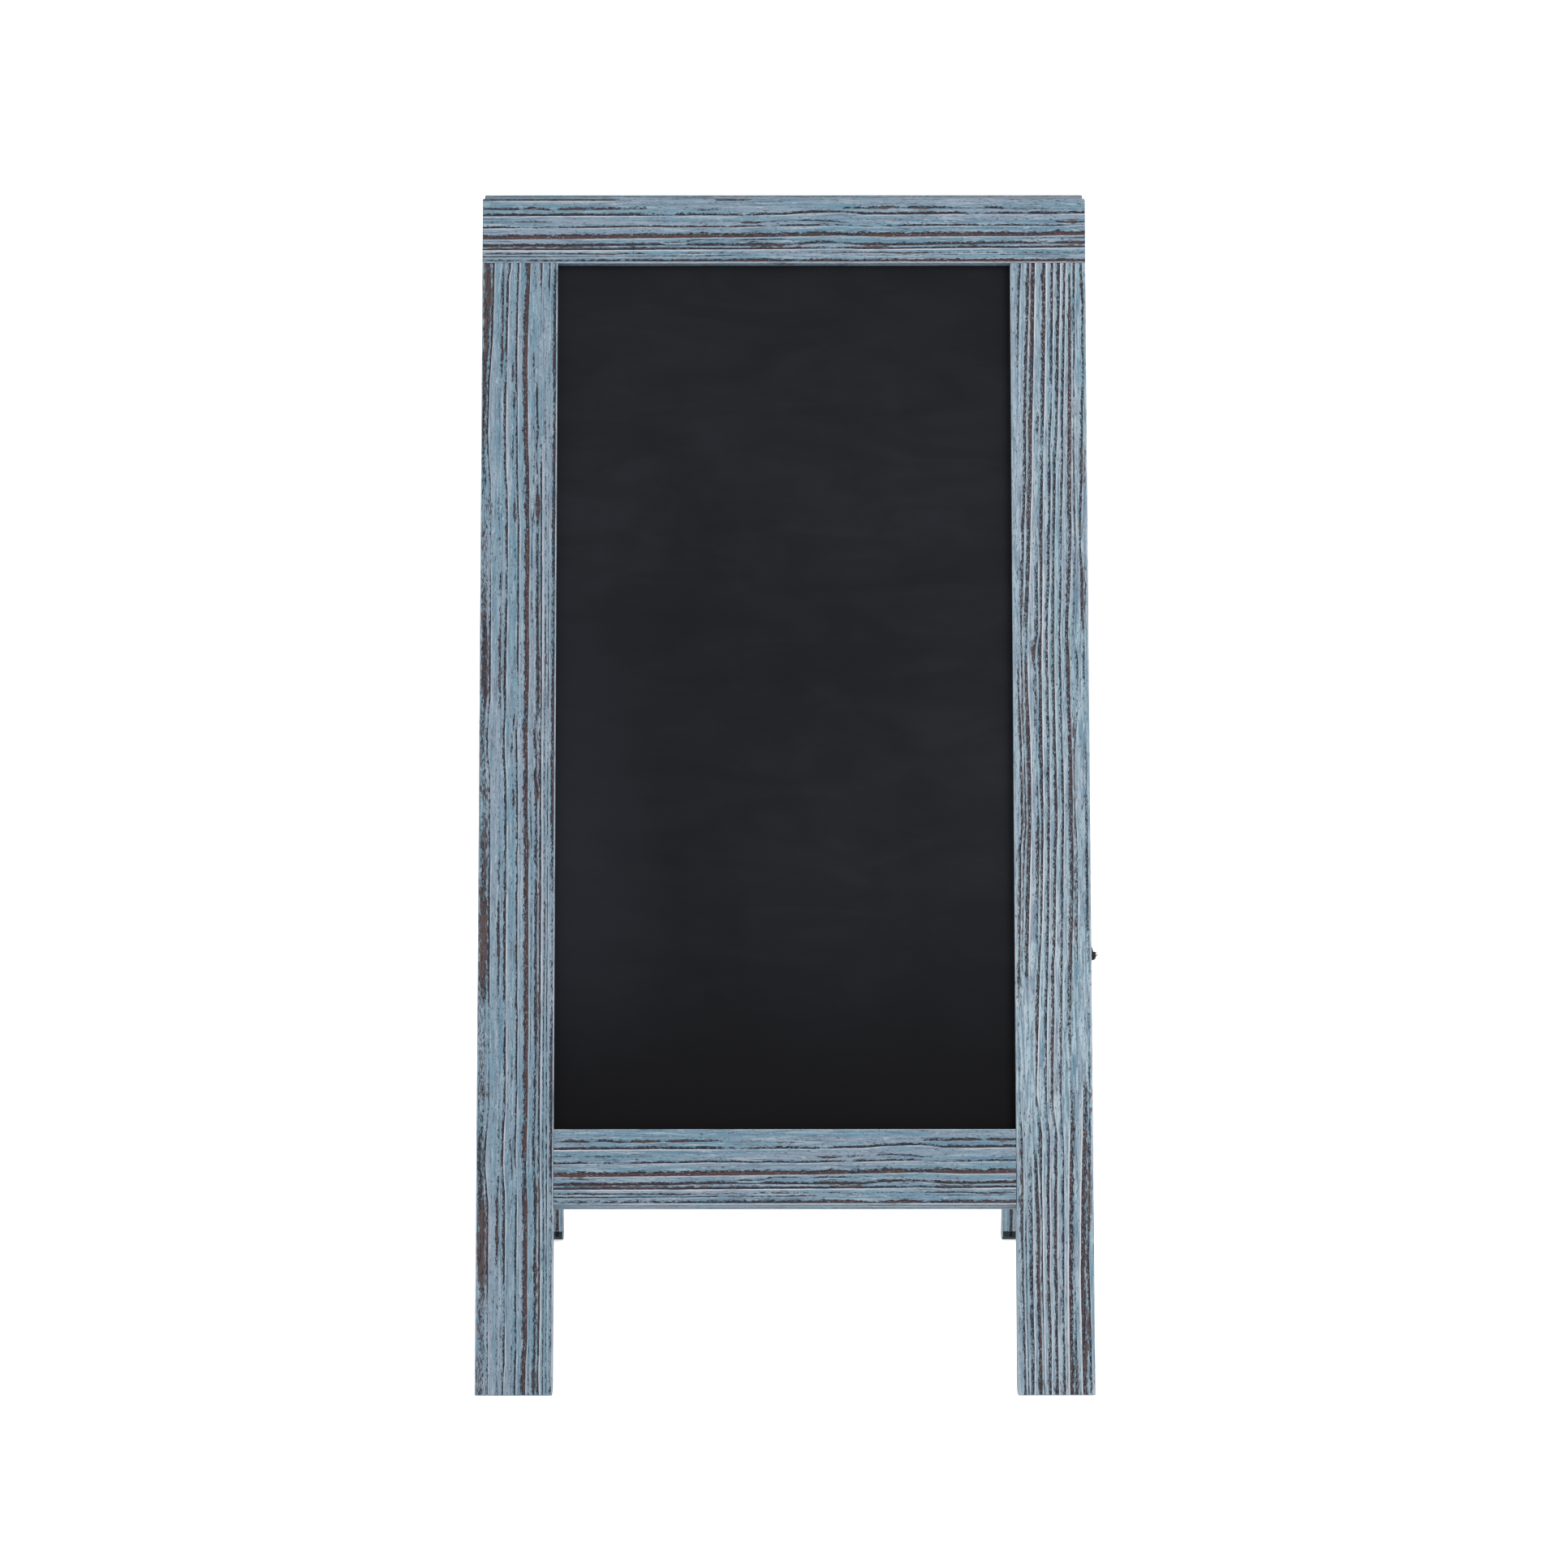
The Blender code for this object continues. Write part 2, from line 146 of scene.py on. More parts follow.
class Graph:
    """A short way to write a material's nodes."""

    def __init__(self, name):
        self.material = bpy.data.materials.new(name)
        self.material.use_nodes = True
        self.tree = self.material.node_tree
        self.shader = self.tree.nodes["Principled BSDF"]

    def node(self, kind, **settings):
        made = self.tree.nodes.new(kind)
        for key, value in settings.items():
            setattr(made, key, value)
        return made

    def put(self, socket, value):
        if isinstance(value, bpy.types.NodeSocket):
            self.tree.links.new(value, socket)
        else:
            socket.default_value = value

    def attribute(self, name, output="Vector"):
        return self.node("ShaderNodeAttribute", attribute_name=name).outputs[output]

    def position(self):
        return self.node("ShaderNodeTexCoord").outputs["Object"]

    def split(self, vector):
        made = self.node("ShaderNodeSeparateXYZ")
        self.put(made.inputs[0], vector)
        return made.outputs

    def vector(self, operation, a, b):
        made = self.node("ShaderNodeVectorMath", operation=operation)
        self.put(made.inputs[0], a)
        self.put(made.inputs[1], b)
        return made.outputs[0]

    def math(self, operation, a, b=0.0, clamp=False):
        made = self.node("ShaderNodeMath", operation=operation, use_clamp=clamp)
        self.put(made.inputs[0], a)
        self.put(made.inputs[1], b)
        return made.outputs[0]

    def plus(self, a, b):
        return self.math("ADD", a, b)

    def times(self, a, b):
        return self.math("MULTIPLY", a, b)

    def centred(self, value, gain):
        """A 0 to 1 value moved to be about 0, and scaled."""
        return self.times(self.math("SUBTRACT", value, 0.5), gain)

    def noise(self, vector, scale, detail=2.0, roughness=0.5, distortion=0.0, offset=(0, 0, 0)):
        """Perlin noise in 0 to 1; scale may be a vector, to stretch it."""
        if not isinstance(scale, (int, float)):
            vector = self.vector("MULTIPLY", vector, scale)
            scale = 1.0
        if any(offset):
            vector = self.vector("ADD", vector, offset)
        made = self.node("ShaderNodeTexNoise")
        self.put(made.inputs["Vector"], vector)
        made.inputs["Scale"].default_value = scale
        made.inputs["Detail"].default_value = detail
        made.inputs["Roughness"].default_value = roughness
        made.inputs["Distortion"].default_value = distortion
        return made.outputs["Fac"]

    def step(self, value, low, high, to_low=0.0, to_high=1.0):
        made = self.node("ShaderNodeMapRange", interpolation_type="SMOOTHSTEP")
        self.put(made.inputs["Value"], value)
        made.inputs["From Min"].default_value = low
        made.inputs["From Max"].default_value = high
        made.inputs["To Min"].default_value = to_low
        made.inputs["To Max"].default_value = to_high
        return made.outputs["Result"]

    def mix(self, factor, a, b, blend="MIX"):
        made = self.node("ShaderNodeMix", data_type="RGBA", blend_type=blend)
        self.put(made.inputs[0], factor)
        self.put(made.inputs[6], a)
        self.put(made.inputs[7], b)
        return made.outputs[2]

    def bump(self, height, distance, strength=1.0):
        made = self.node("ShaderNodeBump")
        made.inputs["Strength"].default_value = strength
        made.inputs["Distance"].default_value = distance
        self.put(made.inputs["Height"], height)
        self.put(self.shader.inputs["Normal"], made.outputs[0])


FOOT_SHADE = (0.045, 0.085, 0.10, 1.0)      # painted shade that darkens a foot's cut end and the inner face just above it
PAINT_GAIN = 0.665     # the paint's colours are as the photo shows them, and the studio light is bright


def painted_wood(name, tint):
    """Rubbed blue paint over dark wood. The timber's own attributes say where its grooves, pale rims,
    worn patches and the painted shade on its feet are."""
    g = Graph(name)
    grain = g.attribute("grain")
    coat, rim, tone = g.split(g.attribute("figure"))
    worn = g.attribute("worn", "Fac")
    pale = g.attribute("pale", "Fac")
    lift = g.attribute("lift", "Fac")
    wander = g.centred(g.noise(grain, (9, 55, 55), 2), 0.0026)
    sideways = g.node("ShaderNodeCombineXYZ")
    g.put(sideways.inputs[1], wander)
    g.put(sideways.inputs[2], wander)
    place = g.vector("ADD", grain, sideways.outputs[0])

    wide = g.noise(place, (4.5, 210, 210), 2)
    broad = g.noise(place, (6, 300, 300), 2, offset=(7, 3, 1))
    middle = g.noise(place, (22, 430, 430), 3, 0.6)
    narrow = g.noise(place, (28, 520, 520), 3, 0.6, offset=(3, 9, 4))
    fine = g.noise(place, (60, 950, 950), 3, 0.6, offset=(6, 1, 5))
    jag = g.noise(place, (300, 900, 900), 4, 0.7)
    fleck = g.noise(place, (170, 900, 900), 2, 0.6, offset=(5, 2, 8))
    dots = g.noise(place, (120, 760, 760), 2, 0.6, offset=(9, 6, 2))
    pit = g.noise(place, (330, 950, 950), 2, 0.6, offset=(2, 7, 6))
    flake = g.noise(place, (380, 1050, 1050), 3, 0.65, offset=(4, 4, 9))
    streak = g.noise(place, (40, 620, 620), 3, 0.6, offset=(8, 5, 3))
    cloud = g.noise(grain, (6, 24, 24), 3)

    # the paint, in streaks along the grain
    drift = g.step(g.plus(g.times(wide, 0.7), g.times(cloud, 0.3)), 0.42, 0.58)
    colour = g.mix(drift, srgb(110, 143, 161), srgb(133, 149, 166))
    colour = g.mix(g.step(broad, 0.51, 0.66, 0, 0.85), colour, srgb(92, 132, 153))
    colour = g.mix(g.step(middle, 0.50, 0.68, 0, 0.8), colour, srgb(159, 175, 187))
    colour = g.mix(g.step(narrow, 0.53, 0.68, 0, 0.7), colour, srgb(92, 106, 122))
    colour = g.mix(g.step(fine, 0.55, 0.70, 0, 0.6), colour, srgb(88, 92, 106))
    light = g.step(dots, 0.60, 0.70, 0, 0.6)
    colour = g.mix(light, colour, srgb(180, 190, 199))
    bright = g.times(pale, g.step(streak, 0.44, 0.60))
    colour = g.mix(bright, colour, srgb(186, 205, 213))
    paint = colour
    colour = g.mix(g.step(pit, 0.62, 0.69, 0, 0.85), colour, srgb(58, 60, 70))

    # the grooves: painted shade greying the paint on their slopes, dark or brown wood, and the flakes of
    # paint kept in them
    groove = g.step(g.plus(coat, g.centred(jag, 2.1)), 0.27, 0.45)
    groove_shade = g.step(coat, 0.02, 0.6, 0, 0.4)
    colour = g.mix(groove_shade, colour, srgb(88, 98, 112))
    body = g.step(coat, 0.50, 0.85)
    brown_share = g.math("MULTIPLY", g.plus(tone, g.centred(middle, 1.6)), body, clamp=True)
    dark = g.mix(brown_share, srgb(38, 40, 51), srgb(84, 60, 59))
    kept = g.step(g.plus(flake, g.times(pale, 0.10)), 0.57, 0.66, 0, 0.75)
    cut = g.times(groove, g.math("SUBTRACT", 1.0, kept))
    colour = g.mix(cut, g.mix(groove, colour, paint), dark)

    # worn specks, pale rims (a painted highlight along the eased edges) and painted shade on the feet
    speck = g.step(g.plus(g.times(worn, 0.62), g.centred(fleck, 2.4)), 0.34, 0.52)
    bare = g.mix(g.step(narrow, 0.42, 0.60), srgb(92, 76, 73), srgb(50, 49, 58))
    colour = g.mix(g.times(speck, 0.92), colour, bare)
    broken = g.noise(place, (30, 60, 60), 2, offset=(1, 8, 2))
    lit = g.times(rim, g.step(broken, 0.30, 0.55, 0.3, 1.0))
    colour = g.mix(lit, colour, srgb(206, 210, 218))
    # painted shade: a band of the inner face just above a foot's cut, darkened
    shaded_band = g.step(g.plus(lift, g.centred(middle, 0.002)), 0.0056, 0.0050)
    colour = g.mix(shaded_band, colour, FOOT_SHADE, "MULTIPLY")
    colour = g.mix(1.0, colour, tint, "MULTIPLY")

    g.put(g.shader.inputs["Base Color"], colour)
    g.put(g.shader.inputs["Roughness"], g.plus(0.58, g.times(groove, 0.26)))
    g.shader.inputs["Specular IOR Level"].default_value = 0.2
    sunk = g.times(g.math("MAXIMUM", groove, speck), 0.65)
    height = g.math("SUBTRACT", g.times(middle, 0.35), sunk)
    g.bump(height, 0.0004, 0.8)
    return g.material


def chalk_paint():
    g = Graph("charcoal_chalk_paint")
    place = g.position()
    high = g.split(place)[2]
    haze = g.noise(place, (3.2, 3.2, 2.2), 4, 0.55, 0.6)
    wipe = g.noise(place, (9, 9, 30), 3, 0.6, 1.2)
    grit = g.noise(place, 1400, 2)
    share = g.times(g.step(haze, 0.30, 0.62, 0.45, 1.0), g.step(wipe, 0.3, 0.75, 0.7, 1.0))
    # painted shade: the lighter haze fades out below about 0.3 m and is cut back above about 0.7 m, so the
    # board is darker towards its bottom and top
    share = g.times(share, g.step(high, 0.20, 0.46))
    share = g.times(share, g.step(high, 0.90, 0.66, 0.72, 1.0))
    colour = g.mix(share, srgb(8, 8, 10), srgb(28, 30, 35))
    # a painted reflection: a faint bluish patch on the left of the board, about 0.3 to 0.6 m up
    reflection_patch = g.times(g.step(high, 0.22, 0.42), g.step(high, 0.72, 0.48))
    reflection_patch = g.times(reflection_patch, g.step(g.split(place)[0], -0.08, -0.19, 0.0, 0.45))
    colour = g.mix(reflection_patch, colour, srgb(30, 33, 41))
    g.put(g.shader.inputs["Base Color"], colour)
    g.put(g.shader.inputs["Roughness"], g.plus(0.50, g.times(haze, 0.18)))
    g.shader.inputs["Specular IOR Level"].default_value = 0.06
    g.bump(grit, 0.00006, 0.6)
    return g.material


def hardboard():
    g = Graph("hardboard_back")
    place = g.position()
    parts = g.split(place)
    fibre = g.noise(place, 520, 4, 0.65, 1.0)
    cloud = g.noise(place, 14, 3)
    weave = [g.math("SINE", g.times(parts[axis], 2800)) for axis in (0, 2)]
    mesh = g.times(*weave)
    colour = g.mix(g.step(fibre, 0.35, 0.65), srgb(84, 58, 38), srgb(128, 94, 64))
    colour = g.mix(g.step(cloud, 0.4, 0.7, 0, 0.4), colour, srgb(70, 48, 33))
    g.put(g.shader.inputs["Base Color"], colour)
    g.shader.inputs["Roughness"].default_value = 0.75
    g.bump(g.plus(g.times(mesh, 0.5), fibre), 0.0002, 0.5)
    return g.material


def zinc_steel():
    g = Graph("zinc_plated_steel")
    place = g.position()
    spangle = g.noise(place, 260, 3, 0.6)
    brushed = g.noise(place, (2600, 90, 90), 2)
    tarnish = g.noise(place, 60, 4, 0.6, 0.8)
    colour = g.mix(g.step(spangle, 0.35, 0.65), srgb(176, 176, 172), srgb(200, 200, 198))
    colour = g.mix(g.step(tarnish, 0.55, 0.75, 0, 0.55), colour, srgb(128, 124, 116))
    g.put(g.shader.inputs["Base Color"], colour)
    g.shader.inputs["Metallic"].default_value = 1.0
    g.put(g.shader.inputs["Roughness"], g.plus(0.30, g.times(tarnish, 0.25)))
    g.bump(g.plus(brushed, spangle), 0.00004, 0.5)
    return g.material


def beech():
    g = Graph("beech_dowel")
    place = g.position()
    grain = g.noise(place, (380, 380, 380), 3)
    fleck = g.noise(place, 1600, 2)
    colour = g.mix(g.step(grain, 0.35, 0.65), srgb(196, 160, 120), srgb(172, 132, 92))
    colour = g.mix(g.step(fleck, 0.6, 0.75, 0, 0.6), colour, srgb(140, 100, 66))
    g.put(g.shader.inputs["Base Color"], colour)
    g.shader.inputs["Roughness"].default_value = 0.7
    g.bump(grain, 0.0001, 0.5)
    return g.material


def black_cord():
    g = Graph("black_braided_cord")
    place = g.position()
    fibre = g.noise(place, 5200, 3, 0.6)
    dust = g.noise(place, 90, 3)
    colour = g.mix(g.step(fibre, 0.35, 0.7), srgb(8, 8, 9), srgb(24, 24, 27))
    colour = g.mix(g.step(dust, 0.5, 0.75, 0, 0.25), colour, srgb(50, 48, 46))
    g.put(g.shader.inputs["Base Color"], colour)
    g.shader.inputs["Roughness"].default_value = 0.8
    g.shader.inputs["Specular IOR Level"].default_value = 0.25
    g.shader.inputs["Sheen Weight"].default_value = 0.15
    g.bump(fibre, 0.00006, 0.8)
    return g.material


PAINT = painted_wood("weathered_blue_paint", (PAINT_GAIN,) * 3 + (1.0,))
# the feet's cut ends, darkened all over: painted shade
SHADED_FOOT_END = painted_wood("shaded_foot_end", FOOT_SHADE)
CHALK = chalk_paint()
BACK = hardboard()
STEEL = zinc_steel()
BEECH = beech()
BLACK = black_cord()


# ---------------------------------------------------------------- the wood's figure, listed
# A groove is (width in mm, brown 0 to 1, pale edge 0 to 1, side, points). Its points are
# (mm along the grain, fraction across the face, strength), and say where its clean edge runs.
# Side is 1 where that edge is towards greater V, and -1 where it is towards smaller V.
# A worn patch is (mm along, fraction across, half length mm, half height mm, strength).
# The rail's edge and the right leg's wash are (mm along, strength).

RAIL_GROOVES = (
    (1.2, .7, .8, 1, ((-254, .034, .5), (-244, .034, .8), (-195, .034, .95), (-146, .034, .9),
        (-139, .034, .1), (-60, .034, .1), (-54, .034, .6), (-32, .034, .6), (-25, .034, 0),
        (254, .034, .1))),
    (2.1, .9, .1, 1, ((-254, .17, .2), (-244, .178, .8), (-229, .18, .7), (-221, .175, .15),
        (-214, .167, .75), (-199, .185, .7), (-192, .18, .2), (-186, .18, 1), (-171, .178, .95),
        (-164, .17, .25), (-156, .178, .95), (-146, .175, .9), (-138, .17, .5), (-119, .165, .45),
        (-111, .17, 0), (-76, .175, 0), (-70, .187, .45), (-56, .187, .4), (-50, .18, 0), (47, .165, 0),
        (53, .155, .6), (70, .16, .5), (77, .155, 1), (93, .15, .9), (100, .15, .2), (108, .155, .95),
        (121, .155, .9), (127, .15, .5), (150, .15, .4), (158, .15, 0), (170, .15, .55), (182, .155, .55),
        (190, .16, 0), (199, .17, .4), (212, .17, .2), (254, .165, .2))),
    (2.1, .15, .9, 1, ((-254, .277, 1), (-170, .268, 1), (-120, .268, .8), (-112, .268, .35),
        (-60, .262, .65), (-40, .266, .6), (-32, .264, .2), (-22, .258, .7), (0, .252, .65), (22, .224, .8),
        (36, .217, .75), (48, .217, .55), (58, .228, .35), (66, .248, .7), (90, .25, 1), (146, .24, .8),
        (156, .24, .35), (176, .24, .4), (190, .238, .7), (204, .238, .5), (212, .24, .85), (228, .24, .8),
        (235, .235, .3), (243, .232, .8), (254, .232, .85))),
    (1.4, .5, 0, 1, ((-254, .37, .1), (-243, .375, .45), (-236, .37, .15), (-230, .372, .4),
        (-198, .372, .35), (-190, .37, 0), (-40, .37, 0), (-34, .385, .8), (-23, .39, .8), (-18, .37, .45),
        (-4, .365, .4), (6, .36, 0), (20, .345, .6), (42, .36, .6), (50, .38, .45), (60, .36, 0),
        (226, .36, 0), (234, .375, .9), (244, .38, .9), (254, .37, .5))),
    (1.6, .2, .7, 1, ((-254, .468, .9), (-236, .462, .85), (-226, .462, .4), (-196, .462, .3),
        (-165, .456, .75), (-150, .453, .6), (-138, .448, .9), (-126, .443, .85), (-112, .446, .6),
        (-104, .443, .8), (-92, .45, .6), (-80, .446, .7), (-62, .449, .5), (-42, .449, .75),
        (-22, .436, .85), (-16, .436, .15), (-8, .436, .3), (-2, .434, .85), (48, .418, .45), (60, .438, .3),
        (86, .438, .4), (100, .43, .65), (142, .424, .85), (160, .426, .7), (172, .426, .3), (184, .424, .8),
        (196, .424, .5), (226, .426, .6), (242, .415, .85), (254, .41, .3))),
    (3.6, .95, .45, 1, ((-254, .635, .95), (-240, .638, 1), (-106, .615, 1), (-56, .605, .95),
        (-40, .604, .8), (-22, .6, .95), (-10, .595, .7), (32, .582, .95), (44, .575, .6), (84, .594, 1),
        (156, .586, 1), (174, .584, .85), (198, .586, .95), (214, .58, .7), (232, .572, .95),
        (254, .566, .9))),
    (1.3, .8, .1, 1, ((-254, .665, .1), (-240, .67, .6), (-230, .68, .45), (-222, .67, 0), (-108, .68, 0),
        (-98, .69, .5), (-84, .69, .4), (-74, .648, .5), (-56, .648, .4), (-48, .65, 0), (-32, .65, .6),
        (-16, .648, .6), (12, .64, .1), (60, .64, 0), (180, .62, 0), (190, .615, .5), (208, .62, .6),
        (222, .62, .2), (254, .62, .5))),
    (2.2, .35, 0, 1, ((-254, .752, 1), (-170, .745, .9), (-112, .73, .8), (-85, .73, .7), (-60, .735, .8),
        (-44, .735, .6), (-30, .735, .9), (-4, .735, .9), (8, .725, .4), (18, .705, .7), (34, .695, .6),
        (48, .695, .4), (58, .715, .5), (66, .728, .9), (92, .73, .8), (140, .716, .9), (186, .704, .6),
        (204, .704, .8), (222, .704, .4), (254, .7, .9))),
    (1.9, .25, 1, 1, ((-254, .806, 1), (-150, .804, .95), (-100, .797, .85), (-4, .79, 1), (42, .78, .35),
        (58, .782, .6), (66, .79, 1), (164, .772, 1), (186, .772, .7), (204, .772, .9), (238, .764, .8),
        (254, .76, 1))),
    (1.2, .3, .2, 1, ((-254, .872, .3), (-243, .872, .65), (-216, .872, .7), (-200, .87, .5),
        (-168, .872, .6), (-158, .874, .8), (-147, .876, .75), (-138, .87, .4), (-90, .86, .2),
        (-80, .86, .5), (-40, .855, .2), (30, .85, .3), (84, .848, .6), (98, .86, .7), (118, .856, .6),
        (126, .85, .3), (254, .85, .3))),
    (1.3, .5, .5, 1, ((-254, .918, .8), (-226, .918, .85), (-168, .91, .55), (-158, .908, .75),
        (-145, .908, .6), (-138, .906, .9), (-125, .905, .75), (-114, .904, .3), (-64, .903, .5),
        (-56, .898, .6), (-42, .896, .5), (-34, .895, .1), (60, .89, .1), (74, .885, .6), (104, .885, .85),
        (116, .884, .7), (124, .882, .3), (130, .882, .9), (143, .882, .8), (150, .88, .15), (178, .88, .45),
        (254, .87, .3))),
    (2.4, .75, 0, 1, ((-254, .985, .35), (-104, .985, .6), (-85, .985, .85), (-62, .985, .6), (-34, .985, 1),
        (-12, .985, 1), (2, .985, .8), (12, .985, .4), (22, .985, .9), (44, .985, .95), (58, .985, .5),
        (74, .985, .8), (100, .985, .95), (254, .985, 1))),
)
RAIL_EDGE = ((-254, .6), (-195, .9), (-146, .9), (-139, .2), (-60, .1), (-54, .8), (-32, .8), (-25, .1),
    (254, .1))
RAIL_WORN = (
    (-200, .775, 64, 1.7, .9), (-112, .76, 26, 1.6, .5), (-12, .75, 13, 2.8, .95), (-26, .7, 8, 2.6, .6),
    (78, .755, 18, 1.6, .8), (158, .745, 10, 1.6, .8), (243, .7, 12, 3.4, .8), (242, .36, 8, 1.8, .8),
    (-28, .37, 6, 1.6, .8), (-108, .57, 6, 2, .8), (156, .55, 6, 2, .8), (-180, .165, 10, 1.4, .7),
    (85, .145, 9, 1.4, .7), (115, .15, 7, 1.2, .7), (-236, .63, 8, 2.2, .6), (20, .7, 22, 1.6, .45),
    (170, .67, 24, 2.2, .4), (-155, .88, 10, 1.4, .6), (105, .87, 12, 1.2, .6), (240, .54, 8, 1.4, .6),
)

